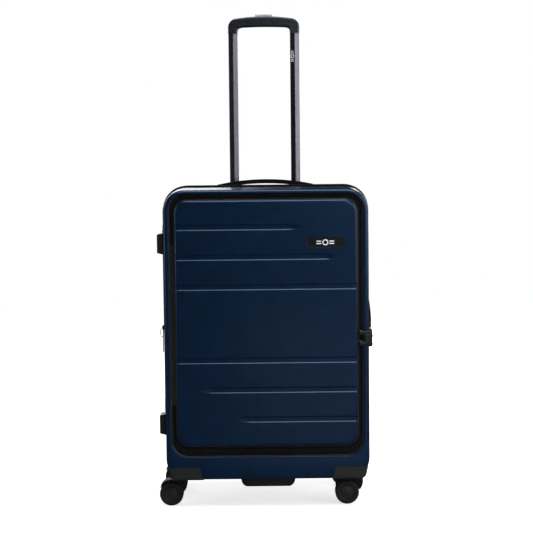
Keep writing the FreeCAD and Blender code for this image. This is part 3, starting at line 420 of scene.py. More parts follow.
MATS = {
    "shell": moulded("navy_shell", NAVY, 0.34, 1100.0, 0.00003, Coat_Roughness=0.17, **PAINT),
    "lid": moulded("navy_lid", NAVY, 0.34, 1100.0, 0.00003, Coat_Roughness=0.18, **PAINT),
    "tape": woven("zip_tape_weave", (0.0025, 0.0025, 0.003), 0.75, 700.0, 0.00008, Specular_IOR_Level=0.1),
    "teeth": moulded(
        "zip_teeth_nylon", (0.004, 0.004, 0.0045), 0.45, 1500.0, 0.00002, Specular_IOR_Level=0.3,
    ),
    "piping": moulded("piping_vinyl", (0.035, 0.037, 0.042), 0.4, 1500.0, 0.00002),
    "stitch": woven("stitch_thread", (0.02, 0.02, 0.022), 0.75, 2600.0, 0.00005),
    "hinge": woven("hinge_fabric", (0.009, 0.0085, 0.009), 0.85, 620.0, 0.00012, Specular_IOR_Level=0.2),
    "lining": woven("lining_cloth", (0.028, 0.032, 0.040), 0.8, 500.0, 0.00012, slant=True),
    "mesh": woven("organiser_mesh", (0.012, 0.013, 0.016), 0.7, 260.0, 0.0004, slant=True),
    "webbing": woven("strap_webbing", (0.010, 0.010, 0.011), 0.75, 420.0, 0.0002),
    "black": moulded("black_plastic", (0.005, 0.005, 0.0053), 0.42, 1300.0, 0.00004),
    "guard": moulded("guard_plastic", (0.011, 0.011, 0.0112), 0.46, 1200.0, 0.00006),
    "rubber": moulded(
        "handle_rubber", (0.004, 0.0045, 0.0055), 0.6, 1600.0, 0.00003, Specular_IOR_Level=0.08,
    ),
    "grip": moulded(
        "grip_plastic", (0.006, 0.007, 0.011), 0.3, 1500.0, 0.00002, Coat_Weight=0.3, Coat_Roughness=0.15,
    ),
    "button": moulded("button_plastic", (0.55, 0.58, 0.62), 0.35, 1500.0, 0.00002),
    "tube": metal("tube_anodised", (0.092, 0.088, 0.100), 0.30, (1.0, 1.0, 0.02)),
    "steel": metal("steel_pins", (0.55, 0.56, 0.58), 0.28),
    "chrome": metal("chrome_trim", (0.62, 0.63, 0.65), 0.16),
    "zip_metal": metal("zip_black_metal", (0.06, 0.06, 0.065), 0.28),
    "plate": moulded(
        "plate_enamel", (0.006, 0.006, 0.007), 0.22, 2200.0, 0.00002, Coat_Weight=0.5, Coat_Roughness=0.08,
    ),
    "mark": moulded("mark_white", (0.80, 0.82, 0.84), 0.35, 2200.0, 0.00001),
    "dial": moulded("dial_plastic", (0.03, 0.03, 0.032), 0.35, 2000.0, 0.00002),
    "fork": moulded("fork_plastic", (0.005, 0.005, 0.0053), 0.5, 1300.0, 0.00004, Specular_IOR_Level=0.2),
    "hub": moulded("hub_plastic", (0.013, 0.013, 0.0133), 0.38, 1500.0, 0.00003),
    "tyre": moulded("wheel_rubber", (0.006, 0.006, 0.0062), 0.6, 1300.0, 0.00005),
}


# ---- studio ----

def area_light(name, at, towards, size, power, colour=(1, 1, 1)):
    data = bpy.data.lights.new(name, "AREA")
    data.shape = "RECTANGLE"
    data.size, data.size_y = size
    data.energy = power
    data.color = colour
    light = bpy.data.objects.new(name, data)
    bpy.context.scene.collection.objects.link(light)
    light.location = at
    light.rotation_mode = "QUATERNION"
    light.rotation_quaternion = (Vector(towards) - Vector(at)).to_track_quat("-Z", "Y")
    light.visible_camera = False


def studio():
    scene = bpy.context.scene
    scene.view_settings.view_transform = "Standard"
    cam = bpy.data.cameras.new("camera")
    cam.sensor_width = 36.0
    cam.lens = 89.8
    cam.clip_end = 60.0
    eye = bpy.data.objects.new("camera", cam)
    scene.collection.objects.link(eye)
    scene.camera = eye
    eye.location = (0.0009, -2.857, 0.712)
    eye.rotation_mode = "QUATERNION"
    pitch = Quaternion((1, 0, 0), math.radians(90.0 - 4.28))
    roll = Quaternion((0, 0, 1), math.radians(-0.6))
    eye.rotation_quaternion = pitch @ roll

    world = bpy.data.worlds.new("studio_air")
    scene.world = world
    world.use_nodes = True
    tree = world.node_tree
    dim = tree.nodes["Background"]
    dim.inputs["Color"].default_value = (1, 1, 1, 1)
    dim.inputs["Strength"].default_value = 0.025
    white = tree.nodes.new("ShaderNodeBackground")
    white.inputs["Strength"].default_value = 1.0
    white.inputs["Color"].default_value = (1, 1, 1, 1)
    seen = tree.nodes.new("ShaderNodeLightPath").outputs["Is Camera Ray"]
    mixer = tree.nodes.new("ShaderNodeMixShader")
    tree.links.new(seen, mixer.inputs[0])
    tree.links.new(dim.outputs[0], mixer.inputs[1])
    tree.links.new(white.outputs[0], mixer.inputs[2])
    tree.links.new(mixer.outputs[0], tree.nodes["World Output"].inputs["Surface"])

    sun = bpy.data.lights.new("overhead", "SUN")
    sun.angle = math.radians(38.0)
    sun.energy = 1.5
    top = bpy.data.objects.new("overhead", sun)
    scene.collection.objects.link(top)
    top.rotation_euler = (math.radians(4.0), 0, 0)
    area_light("right_panel", (1.9, -1.15, 1.1), (0.1, -0.1, 0.6), (0.9, 1.3), 20.0)
    area_light("left_panel", (-2.4, -0.35, 1.0), (-0.2, 0, 0.4), (1.2, 1.6), 13.0)
    area_light("right_side", (2.5, 0.45, 1.0), (0.2, 0, 0.4), (1.2, 1.6), 11.0)
    area_light("front_right_key", (0.78, -2.5, 1.12), (0.14, -0.1, 0.66), (0.5, 0.5), 8.5, (0.86, 0.94, 1.0))
    area_light("low_front", (0.55, -1.35, 0.05), (0.15, -0.13, 0.25), (1.3, 0.5), 0.8, (0.9, 0.95, 1.0))
    area_light("front_top", (0.45, -1.25, 2.6), (0, -0.1, 0.45), (1.7, 0.7), 30.0, (0.86, 0.94, 1.0))
    area_light("rear_panel", (-0.9, 2.2, 1.3), (0, 0, 0.4), (1.6, 1.4), 20.0)
    area_light("rear_key", (1.1, 2.6, 0.9), (0, 0.1, 0.4), (1.2, 0.9), 22.0)

    paint = Surface("floor_paint", (0.86, 0.86, 0.86), 0.9, Emission_Color=(1, 1, 1, 1), Emission_Strength=0.66)
    MATS["floor"] = paint.material
    floor = Shape(span((-4, -1.3, -0.01), (4, 4, 0))).piece("floor", None, "floor")
    floor.visible_glossy = False


# ---- the lid's relief ----

def clamp(t):
    return max(0.0, min(1.0, t))


def smooth(t):
    t = clamp(t)
    return t * t * (3 - 2 * t)


def groove_rows(middle):
    """(height, left end, right end) of the six pressed grooves."""
    near = GROOVE_NEAR
    return [
        (middle + near + 2 * GROOVE_PITCH, -PAST, 0.072),
        (middle + near + GROOVE_PITCH, -PAST, 0.146),
        (middle + near, -PAST, PAST),
        (middle - near, -PAST, PAST),
        (middle - near - GROOVE_PITCH, -0.140, PAST),
        (middle - near - 2 * GROOVE_PITCH, -0.065, PAST),
    ]


def groove_depth(x, z, rows):
    """How deep the grooves press the surface in at a place."""
    deep = 0.0
    for row, x0, x1 in rows:
        off = abs(z - row)
        if off < GROOVE_HALF:
            along = smooth((x - x0) / GROOVE_FADE) * smooth((x1 - x) / GROOVE_FADE)
            half = GROOVE_HALF * (0.45 + 0.55 * along)
            across = smooth((half - off) / (half * 0.42))
            deep = max(deep, GROOVE_DEEP * along * across)
    return deep


def edge_of(x, z, form):
    """Distance inside a form's edge, and the outward direction there."""
    sx = 1.0 if x >= 0 else -1.0
    sz = 1.0 if z > (form.z0 + form.z1) / 2 else -1.0
    side_gap = form.half_w - abs(x)
    end_gap = form.z1 - z if sz > 0 else z - form.z0
    over_x = form.r - side_gap
    over_z = form.r - end_gap
    if over_x > 0 and over_z > 0:
        far = math.hypot(over_x, over_z)
        return form.r - far, Vector((sx * over_x / far, sz * over_z / far))
    if side_gap < end_gap:
        return side_gap, Vector((sx, 0.0))
    return end_gap, Vector((0.0, sz))


def spaced_lines(length, edge_steps, pitch, extra=()):
    """Places from 0 to length: close together by both ends and round the extra places."""
    out = set()
    for s in edge_steps:
        out.add(round(s, 6))
        out.add(round(length - s, 6))
    inner = edge_steps[-1]
    count = int((length - 2 * inner) / pitch)
    for i in range(count + 1):
        out.add(round(inner + (length - 2 * inner) * i / count, 6))
    for at, half, steps in extra:
        out = {v for v in out if abs(v - at) > half}
        for i in range(-steps, steps + 1):
            out.add(round(at + half * i / steps, 6))
    return sorted(out)


def dome(form, round_r, rows, pitch, face_y, facing, relief):
    """Face of a pressed panel with a rolled edge; relief(x, z) sinks it. Gives verts, faces and border."""
    edge_steps = [round_r * (1 - math.cos(math.radians(a))) for a in range(0, 91, 11)]
    edge_steps += [round_r * 1.4, round_r * 2.2]
    more = [e for e in (edge_steps[-1] + i * 0.0022 for i in range(1, 22)) if e < form.r]
    extra = [(z - form.z0, GROOVE_HALF * 1.1, 9) for z, _, _ in rows]
    zs = [form.z0 + z for z in spaced_lines(form.z1 - form.z0, edge_steps + more, pitch, extra)]
    us = spaced_lines(2 * form.half_w, edge_steps, pitch)
    verts = []
    for z in zs:
        over = max(0.0, form.r - min(form.z1 - z, z - form.z0))
        row_half = form.half_w - form.r + math.sqrt(max(form.r ** 2 - over ** 2, 0.0))
        for u in us:
            x = (u / form.half_w - 1.0) * row_half
            t = min(max(edge_of(x, z, form)[0], 0.0), round_r)
            sink = round_r - math.sqrt(max(round_r ** 2 - (round_r - t) ** 2, 0.0))
            verts.append(Vector((x, face_y - facing * (sink + relief(x, z)), z)))
    nu, nz = len(us), len(zs)
    faces = [[a, a + 1, a + nu + 1, a + nu] for i in range(nz - 1) for a in range(i * nu, i * nu + nu - 1)]
    border = list(range(nu))
    border += [i * nu + nu - 1 for i in range(1, nz)]
    border += [(nz - 1) * nu + j for j in range(nu - 2, -1, -1)]
    border += [i * nu for i in range(nz - 2, 0, -1)]
    return verts, faces, border


def pressed_panel(form, round_r, rows, pitch, face_y, facing, relief, rings):
    """A dome whose border runs on through rings of (depth, growth beyond the border), closed by a flat cap."""
    verts, faces, border = dome(form, round_r, rows, pitch, face_y, facing, relief)
    before = border
    for y, grow in rings:
        after = []
        for i in border:
            v = verts[i]
            _, out = edge_of(v.x, v.z, form)
            after.append(len(verts))
            verts.append(Vector((v.x + out.x * grow, y, v.z + out.y * grow)))
        n = len(border)
        for k in range(n):
            faces.append([before[k], before[(k + 1) % n], after[(k + 1) % n], after[k]])
        before = after
    faces.append(list(before))
    return verts, faces


# ---- shells ----

def guard_cutter(side, y0, y1):
    """The bottom corner that a guard fills, with its inner top corner rounded."""
    r = 0.008
    points = [(0.24, GUARD_TOP_Z)]
    for i in range(6):
        a = math.radians(90 + 16 * i)
        points.append((GUARD_INNER_X + r + r * math.cos(a), GUARD_TOP_Z - r + r * math.sin(a)))
    points += [(GUARD_FOOT_X, 0.0625), (GUARD_FOOT_X, 0.03), (0.24, 0.03)]
    return prism([(side * x, z) for x, z in points], y0, y1)


def front_shell():
    lo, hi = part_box("front_shell")
    rings = [ring(SHELL, hi.y), ring(SHELL, lo.y + RIM_ROUND, DRAFT * (1 - RIM_ROUND / (hi.y - lo.y)))]
    for i in range(1, 10):
        a = math.radians(10.0 * i)
        inset = DRAFT + RIM_ROUND * (1 - math.cos(a))
        rings.append(ring(SHELL, lo.y + RIM_ROUND * (1 - math.sin(a)), inset))
    for i in range(5):
        a = math.radians(22.5 * i)
        rings.append(ring(MOUTH, lo.y + MOUTH_EDGE * (1 - math.cos(a)), -MOUTH_EDGE * (1 - math.sin(a))))
    rings += [ring(form, y, inset) for form, y, inset in (
        (MOUTH, FLANGE_Y, 0.0), (MOUTH, FLANGE_Y, -0.0025), (MOUTH, lo.y + WALL, -0.0025),
        (SHELL, lo.y + WALL + 0.001, DRAFT + WALL + 0.002), (SHELL, hi.y, WALL),
    )]
    obj = Shape(skin(rings, closed=True)).piece(
        "front_shell_skin", "front_half", "shell", "shell", 30.0, ["front_shell"]
    )
    guard_lo, guard_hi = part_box("corner_guards_front")
    for side in (-1, 1):
        cut(obj, guard_cutter(side, guard_lo.y - 0.02, guard_hi.y))


def lid_form():
    lo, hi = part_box("front_lid")
    return Form(hi.x, lo.z, hi.z, LID_R)


def lid():
    lo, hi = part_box("front_lid")
    middle = (lo.z + hi.z) / 2
    half_h = (hi.z - lo.z) / 2
    rows = groove_rows(middle)

    def relief(x, z):
        crown = LID_CROWN * (0.5 * (x / hi.x) ** 2 + 0.5 * ((z - middle) / half_h) ** 2)
        return crown + groove_depth(x, z, rows)

    rings = [(hi.y, 0.0), (hi.y, -WALL), (lo.y + 0.0048, -WALL - 0.0002)]
    panel = pressed_panel(lid_form(), LID_ROUND, rows, 0.006, lo.y, -1.0, relief, rings)
    obj = Shape(panel).piece("lid_skin", "lid", "lid", "lid", 35.0, ["front_lid"])
    lo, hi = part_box("name_plate")
    centre = (hi.x + lo.x) / 2
    recess = Form((hi.x - lo.x) / 2, lo.z, hi.z, 0.002 - PLATE_CLEAR)
    outline = [(x + centre, z) for x, z in loop(recess, -PLATE_CLEAR, 4)]
    cut(obj, prism(outline, lo.y - 0.01, hi.y + 0.0002))


def rear_shell():
    lo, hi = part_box("rear_shell")
    form = Form(SHELL.half_w - DRAFT, SHELL.z0 + DRAFT, SHELL.z1 - DRAFT, SHELL.r - DRAFT)
    middle = (lo.z + hi.z) / 2
    rows = [(middle + rise, -0.168, 0.168) for rise in (0.190, 0.128, -0.128, -0.190)]

    def relief(x, z):
        return groove_depth(x, z, rows)

    inner_round = BACK_ROUND - WALL
    rings = [(lo.y, DRAFT), (lo.y, DRAFT - WALL), (hi.y - BACK_ROUND, -WALL)]
    for i in range(1, 7):
        a = math.radians(15.0 * i)
        rings.append((hi.y - WALL - inner_round * (1 - math.sin(a)), -WALL - inner_round * (1 - math.cos(a))))
    panel = pressed_panel(form, BACK_ROUND, rows, 0.010, hi.y, 1.0, relief, rings)
    obj = Shape(panel).piece("rear_shell_skin", "rear_half", "shell", "shell", 35.0, ["rear_shell"])
    guard_lo, guard_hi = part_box("corner_guards_rear")
    for side in (-1, 1):
        cut(obj, guard_cutter(side, guard_lo.y, guard_hi.y + 0.02))
    cup_lo, cup_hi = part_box("trolley_bezel")
    half = cup_hi.x - 0.005
    cut(obj, prism(
        [(-half, 0.64), (half, 0.64), (half, 0.70), (-half, 0.70)], cup_lo.y + 0.004, cup_hi.y - 0.004
    ))
    cut_seats(obj, (*SEAT_CUP, 0.03))


def cut_seats(obj, size):
    """Makes room for the handles' seats; size is that of a seat which faces upwards."""
    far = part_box("handle_mounts")[1]
    top = far.z - SEAT_PROUD
    side_x = far.x - SEAT_PROUD
    lo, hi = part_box("side_handle")
    middle = (lo.z + hi.z) / 2
    for way in (-1, 1):
        cut(obj, block((way * SEAT_SPREAD, HANDLE_Y, top), size))
    for way in (-1, 1):
        cut(obj, block((side_x, HANDLE_Y, middle + way * SIDE_SPREAD), size[::-1]))


def cut_posts(obj, fork, bores):
    """Makes room for a pair of casters' posts; bores are (radius, top)."""
    lo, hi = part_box(fork)
    for side in (-1, 1):
        at = Vector((side * POST_X, (lo.y + hi.y) / 2, 0))
        for r, top in bores:
            verts, faces = lathe([(r, 0.05), (r, top)], 40)
            cut(obj, ([v + at for v in verts], faces))


# ---- zips ----

def studs(form, inset, y, spacing, size, where=None, phase=0.0):
    """Small blocks set evenly along a form: size is (along, across the depth, outwards)."""
    blocks = Shape()
    along, deep, tall = (v / 2 for v in size)
    for p, run in spread(loop(form, inset, 24), spacing, phase=phase):
        if where is not None and not where(p):
            continue
        out = Vector((run.y, -run.x))
        corners = []
        for a, b, c in STUD_CORNERS:
            q = p + run * (a * along * (0.75 if c > 0 else 1.0)) + out * (c * tall)
            corners.append((q.x, y + b * deep, q.y))
        blocks.add((corners, STUD_FACES))
    return blocks.verts, blocks.faces


STUD_CORNERS = [(a, b, c) for a in (-1, 1) for b in (-1, 1) for c in (-1, 1)]
STUD_FACES = [[0, 1, 3, 2], [4, 6, 7, 5], [0, 4, 5, 1], [2, 3, 7, 6], [0, 2, 6, 4], [1, 5, 7, 3]]


def band_profile(shell_y, zip_y):
    """(depth, height) round a zip band: piping bead by the shell, flat tape, lower ledge under the teeth."""
    way = 1.0 if zip_y > shell_y else -1.0
    top = BAND_OUT
    from_shell = [
        (0.0, -BAND_IN), (0.0, top * 0.62), (0.0004, top * 0.90), (0.0017, top), (0.0030, top * 0.90),
        (0.0035, top * 0.68), (0.0040, top * 0.62),
    ]
    points = [(shell_y + way * d, h) for d, h in from_shell]
    to_zip = [(0.0030, top * 0.64), (0.0026, top * 0.42), (0.0, top * 0.42), (0.0, -BAND_IN)]
    return points + [(zip_y - way * d, h) for d, h in to_zip]


def off_hinge(p):
    """True away from the fabric hinge on the left side."""
    return not (p.x < 0 and HINGE_Z[0] - 0.002 < p.y < HINGE_Z[1] + 0.002)


def zip_band(node, body, shell_y, zip_y, where=None, lock=0.0):
    """Fabric band round the case, with its half of the chain and a row of stitches.

    lock is how far the teeth reach past the band's edge into the other half of the chain.
    """
    rings = [ring(SHELL, y, -h, 12) for y, h in band_profile(shell_y, zip_y)]
    obj = Shape(skin(rings, closed=True)).piece(node + "_band", body, "tape", "zip_tape", 50.0, [node])
    way = 1.0 if zip_y > shell_y else -1.0
    teeth = Shape(studs(
        SHELL, -BAND_OUT * 0.66, zip_y - way * (0.0012 - lock / 2), TOOTH_PITCH,
        (TOOTH_WIDE, 0.0022 + lock, 0.0020), where,
    )).piece(node + "_teeth", body, "teeth", "zip_tape")
    stitches = Shape(studs(
        SHELL, -BAND_OUT * 0.66, shell_y + way * 0.0052, STITCH_PITCH, (0.0030, 0.0005, 0.0006), where
    )).piece(node + "_stitches", body, "stitch", "zip_tape")


def zip_bands():
    lo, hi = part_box("front_zip_tape")
    zip_band("front_zip_tape", "front_half", lo.y, hi.y, off_hinge, TOOTH_LOCK)
    lo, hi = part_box("expansion_zip_tape")
    expansion_tape(lo.y, hi.y)
    lo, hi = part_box("rear_zip_tape")
    zip_band("rear_zip_tape", "rear_half", hi.y, lo.y)


def expansion_tape(y0, y1):
    """The band between the two zips: teeth on both edges and a folded rib in the middle."""
    top = BAND_OUT
    low = top * 0.42
    mid = (y0 + y1) / 2
    profile = [
        (y0, -BAND_IN), (y0, low), (y0 + 0.0026, low), (y0 + 0.0030, top * 0.64), (mid - 0.0022, top * 0.66),
        (mid - 0.0016, top * 0.92), (mid, top), (mid + 0.0016, top * 0.92), (mid + 0.0022, top * 0.66),
        (y1 - 0.0030, top * 0.64), (y1 - 0.0026, low), (y1, low), (y1, -BAND_IN),
    ]
    rings = [ring(SHELL, y, -h, 12) for y, h in profile]
    obj = Shape(skin(rings, closed=True)).piece(
        "expansion_zip_tape_band", "expansion_band", "tape", "zip_tape", 50.0, ["expansion_zip_tape"]
    )
    front = studs(
        SHELL, -top * 0.66, y0 + 0.0012 - TOOTH_LOCK / 2, TOOTH_PITCH,
        (TOOTH_WIDE, 0.0022 + TOOTH_LOCK, 0.0020), off_hinge, 0.5,
    )
    rear = studs(SHELL, -top * 0.66, y1 - 0.0012, TOOTH_PITCH, (0.0013, 0.0022, 0.0020))
    teeth = Shape(front, rear).piece("expansion_zip_teeth", "expansion_band", "teeth", "zip_tape")


def gusset():
    """Sleeve of cloth that lets the case grow: soft ripples round the case, sewn in behind the band."""
    lo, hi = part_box("expansion_gusset")
    inset = 0.0060
    thick = 0.0008
    outer = []
    for i in range(15):
        t = i / 14
        y = lo.y + 0.0006 + (hi.y - lo.y - 0.0008) * t
        outer.append((y, inset + 0.00035 * math.sin(t * 5 * math.pi)))
    inner = [(y, d + thick) for y, d in outer]
    lip = [(lo.y + 0.0002, inset + thick), (lo.y + 0.0002, 0.0009), (lo.y + 0.0006, 0.0009)]
    rings = [
        [p + Vector((0, 0, 0.00025 * math.sin(p.x * 260) * math.cos(p.z * 190))) for p in ring(SHELL, y, d, 12)]
        for y, d in outer + inner[::-1] + lip
    ]
    obj = Shape(skin(rings, closed=True)).piece(
        "gusset_sleeve", "expansion_band", "lining", "hinge_fabric", 60.0, ["expansion_gusset"]
    )


def cloth_strip(x_of, ys, z0, z1, thick, rows=60):
    """Thin strip that runs up the case: x_of(y) is its outer face."""
    def point(layer, i, j):
        return Vector((x_of(ys[j]) + layer * thick, ys[j], z0 + (z1 - z0) * i / rows))

    return thin_grid(len(ys) - 1, rows, point)


def upright_seam(x, y, z0, z1, size):
    """A row of stitches up the case."""
    seam = Shape()
    for i in range(int((z1 - z0) / STITCH_PITCH)):
        seam.add(block((x, y, z0 + STITCH_PITCH * i), size))
    return seam


def main_hinge():
    """Two strips of coated cloth, sewn to the bands and joined over the middle of the hinge."""
    lo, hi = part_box("main_hinge_tape")
    reach = 0.0135
    seam_y = 0.0128
    tail = [0.0, 0.002, 0.004, 0.006, 0.007, 0.008, 0.009, 0.010, 0.011, 0.0125, reach]

    def outer(y):
        return lo.x + 0.00035 * (abs(y) / reach) ** 2

    for name, way, body, replaces in (
        ("hinge_cloth_rear", 1.0, "expansion_band", ["main_hinge_tape"]),
        ("hinge_cloth_front", -1.0, "front_half", []),
    ):
        strip = cloth_strip(outer, [way * t for t in tail], lo.z, hi.z, 0.0011)
        obj = Shape(strip).piece(name, None, "hinge", "hinge_fabric", 50.0, replaces)
        if way > 0:
            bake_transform(obj)
        else:
            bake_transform(obj)
        stitches = upright_seam(
            outer(seam_y) - 0.0001, way * seam_y, lo.z + 0.005, hi.z - 0.005, (0.0006, 0.0005, 0.0030)
        ).piece(name + "_stitches", body, "stitch", "hinge_fabric")


def bead(form, inset, y, r, steps=12):
    """Round bead along a form."""
    return skin([ring(form, y + b, inset + a, steps) for a, b in circle(r, 8)], closed=True)


def pocket_zip():
    """Tape, chain and piping in the channel round the lid."""
    form = lid_form()
    lo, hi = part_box("pocket_zip_tape")
    face = lo.y
    split = 0.00265
    shell_side = [ring(form, face + y, -(split + out)) for y, out in (
        (0.0002, 0.0004), (0.0, 0.0030), (0.0005, 0.0036), (0.0005, 0.0050), (-0.0006, 0.0056), (-0.0006, 0.0080),
    )]
    shell_side += [
        ring(MOUTH, face + 0.0002, 0.0012), ring(MOUTH, face + 0.0004, 0.0003),
        ring(MOUTH, hi.y, 0.0003), ring(form, hi.y, -(split + 0.0004)),
    ]
    tape = Shape(skin(shell_side, closed=True)).piece(
        "pocket_tape", "front_half", "tape", "zip_tape", 50.0, ["pocket_zip_tape"]
    )
    on_right = Shape(studs(
        form, -(split + 0.0012), face - 0.0006, TOOTH_PITCH, (0.0013, 0.0018, 0.0024), off_lid_hinge
    )).piece("pocket_teeth", "front_half", "teeth", "zip_tape")
    trim = Shape(bead(MOUTH, 0.0010, face - 0.0004, 0.0008)).piece(
        "mouth_piping", "front_half", "piping", "zip_tape"
    )
    seam = Shape(studs(
        form, -(split + 0.0068), face - 0.0007, STITCH_PITCH, (0.0028, 0.0004, 0.0005), off_lid_hinge
    )).piece("pocket_stitches", "front_half", "stitch", "zip_tape")
    lid_side = [ring(form, y, inset) for y, inset in (
        (face + 0.0002, -0.0001), (face, -0.0012), (face + 0.0003, 0.0004 - split), (hi.y, 0.0004 - split),
        (hi.y + 0.0016, -0.0004), (hi.y + 0.0016, 0.0095), (hi.y + 0.0008, 0.0095), (hi.y + 0.0008, 0.0),
    )]
    lid_tape = Shape(skin(lid_side, closed=True)).piece(
        "lid_tape", "lid", "tape", "zip_tape", 50.0, ["lid_zip_tape"]
    )
    on_lid = Shape(studs(
        form, 0.0012 - split, face - 0.0006, TOOTH_PITCH, (0.0013, 0.0018, 0.0022), off_lid_hinge
    )).piece("lid_teeth", "lid", "teeth", "zip_tape")
    cord = Shape(bead(form, -0.0004, face - 0.0022, 0.0008)).piece("lid_piping", "lid", "piping", "zip_tape")


def off_lid_hinge(p):
    lo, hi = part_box("lid_hinge_tape")
    return not (p.x < 0 and lo.z < p.y < hi.z)


def lid_hinge():
    """Cloth strip over the chain on the hinge side: a shallow roll between its two seams."""
    lo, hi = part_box("lid_hinge_tape")
    shares = (0.0, 0.08, 0.16, 0.28, 0.40, 0.52, 0.64, 0.76, 0.88, 1.0)
    rows = 90

    def point(layer, i, j):
        t = shares[j]
        z = lo.z + (hi.z - lo.z) * i / rows
        roll = 0.0009 * math.sin(math.pi * t) + 0.0001 * math.sin(z * 210 + t * 5)
        end = 0.0006 * smooth(1 - min(z - lo.z, hi.z - z) / 0.006)
        return Vector((lo.x + (hi.x - lo.x) * t, lo.y + 0.0010 - roll + end + layer * 0.0009, z))

    obj = Shape(thin_grid(len(shares) - 1, rows, point)).piece(
        "lid_hinge_cloth", None, "hinge", "hinge_fabric", 60.0, ["lid_hinge_tape"]
    )
    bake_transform(obj)
    stitches = upright_seam(
        lo.x + 0.0016, lo.y + 0.0006, lo.z + 0.004, hi.z - 0.004, (0.0005, 0.0006, 0.0029)
    ).piece("lid_hinge_stitches", "front_half", "stitch", "hinge_fabric")


# ---- linings and straps ----

def even_ring(form, y, inset, sag=None):
    """A form as a fixed number of evenly spaced points; sag(x, z) moves each one in depth."""
    places = spread(loop(form, inset, least_r=0.002), count=CLOTH_POINTS)
    return [Vector((p.x, y + (sag(p.x, p.y) if sag else 0.0), p.y)) for p, _ in places]


def wrinkle(x, z, depth):
    """Soft folds of loosely hung cloth."""
    calm = smooth(abs(x) / 0.05)
    a = math.sin(x * 26 + 1.2 * math.sin(z * 9)) * math.cos(z * 7 + 0.8 * math.sin(x * 8))
    b = math.sin(x * 47 + z * 19) * 0.35
    return depth * calm * (a + b) / 1.35


def cloth_wall(form, y, thick, depth):
    """Upright cloth panel: closed front and back faces that fold together."""
    reach = min(form.half_w, (form.z1 - form.z0) / 2)
    steps = [reach * 0.97 * i / 26 for i in range(27)]

    def sag(x, z):
        return wrinkle(x, z, depth * clamp((reach - abs(x)) / 0.03))

    front = [even_ring(form, y, d, sag) for d in steps[::-1]]
    back = [even_ring(form, y + thick, d, sag) for d in steps]
    return skin(front + back, cap_start=True, cap_end=True)


def sewn_hem(form, y, inset):
    return studs(form, inset, y, STITCH_PITCH, (0.0028, 0.0006, 0.0005))


def rear_lining():
    """Cloth tray behind the packing straps, with folds in its back and a sewn hem at its mouth."""
    lo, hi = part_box("rear_lining")
    inset = SHELL.half_w - hi.x
    lean = 0.0022
    thick = 0.0012
    back = hi.y - 0.0002
    reach = SHELL.half_w - inset - lean
    depths = [lo.y + (back - lo.y) * t for t in (0, 0.05, 0.1, 0.25, 0.4, 0.55, 0.7, 0.85, 0.95, 1)]

    def side(y):
        return inset + lean * (y - lo.y) / (back - lo.y)

    def sag(x, z):
        amp = 0.0009 * clamp((reach - abs(x)) / 0.04) * clamp((z - lo.z) / 0.04) * clamp((hi.z - z) / 0.04)
        return wrinkle(x, z, amp) - amp

    outer = [even_ring(SHELL, y, side(y)) for y in depths]
    inner = [even_ring(SHELL, y, side(y) + thick) for y in depths[:-1]]
    inner.append(even_ring(SHELL, back - thick, side(back) + thick))
    steps = [inset + lean + reach * 0.97 * i / 24 for i in range(1, 25)]
    floor_out = [even_ring(SHELL, back, d, sag) for d in steps]
    floor_in = [even_ring(SHELL, back - thick, d + thick * 0.9, sag) for d in steps]
    rings = floor_out[::-1] + outer[::-1] + inner + floor_in
    obj = Shape(skin(rings, cap_start=True, cap_end=True)).piece(
        "rear_lining_cloth", "rear_half", "lining", "lining", 50.0, ["rear_lining"]
    )
    cut_seats(obj, (0.024, 0.022, 0.056))
    cut_posts(obj, "caster_fork_rear_right", ((0.014, 0.1125), CONE_ROOM))
    hem = Shape(sewn_hem(SHELL, lo.y + 0.003, inset + thick + 0.0002)).piece(
        "rear_lining_hem", "rear_half", "stitch", "lining"
    )


def pocket_panel(x0, x1, z0, z1, y, fullness):
    """Open-topped pocket sewn on a wall: it bellies out and its top edge is bound."""
    columns, rows = 24, 16

    def point(layer, i, j):
        u = j / columns
        v = i / rows
        belly = fullness * math.sin(math.pi * u) * smooth(v * 1.3)
        folds = 0.0005 * math.sin(u * 46) * v
        return Vector((x0 + (x1 - x0) * u, y - belly - folds - layer * 0.0009, z0 + (z1 - z0) * v))

    return thin_grid(columns, rows, point)


def pocket_back():
    """Cloth wall between the pocket and the case, with two organiser pockets."""
    lo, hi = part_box("pocket_back_panel")
    form = Form(hi.x, lo.z, hi.z, 0.0428)
    obj = Shape(cloth_wall(form, lo.y + 0.0006, 0.0009, 0.0006)).piece(
        "pocket_back_cloth", "front_half", "lining", "lining", 50.0, ["pocket_back_panel"]
    )
    cut_posts(obj, "caster_fork_front_right", (CONE_ROOM,))
    foot = 0.14
    full = 0.006
    for i, (x0, x1, top) in enumerate(((-0.17, -0.006, 0.34), (0.006, 0.17, 0.30))):
        pocket = Shape(pocket_panel(x0, x1, foot, top, lo.y - 0.0004, full)).piece(
            "organiser_pocket_%d" % (i + 1), "front_half", "mesh", "lining", 60.0
        )
        path = [
            Vector((x0 + (x1 - x0) * u / 24, lo.y - 0.0009 - full * math.sin(math.pi * u / 24), top))
            for u in range(25)
        ]
        Shape(sweep(path, circle(0.0016, 8), across=Vector((0, 0, 1)))).piece(
            "organiser_binding_%d" % (i + 1), "front_half", "tape", "zip_tape"
        )
    hem = Shape(sewn_hem(form, lo.y + 0.0003, 0.010)).piece("pocket_back_hem", "front_half", "stitch", "lining")


def lid_lining():
    lo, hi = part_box("lid_lining")
    form = Form(hi.x, lo.z, hi.z, LID_R - WALL)
    obj = Shape(cloth_wall(form, lo.y + 0.0002, 0.0008, 0.0002)).piece(
        "lid_lining_cloth", "lid", "lining", "lining", 50.0, ["lid_lining"]
    )
    hem = Shape(sewn_hem(form, hi.y + 0.0001, 0.008)).piece("lid_lining_hem", "lid", "stitch", "lining")


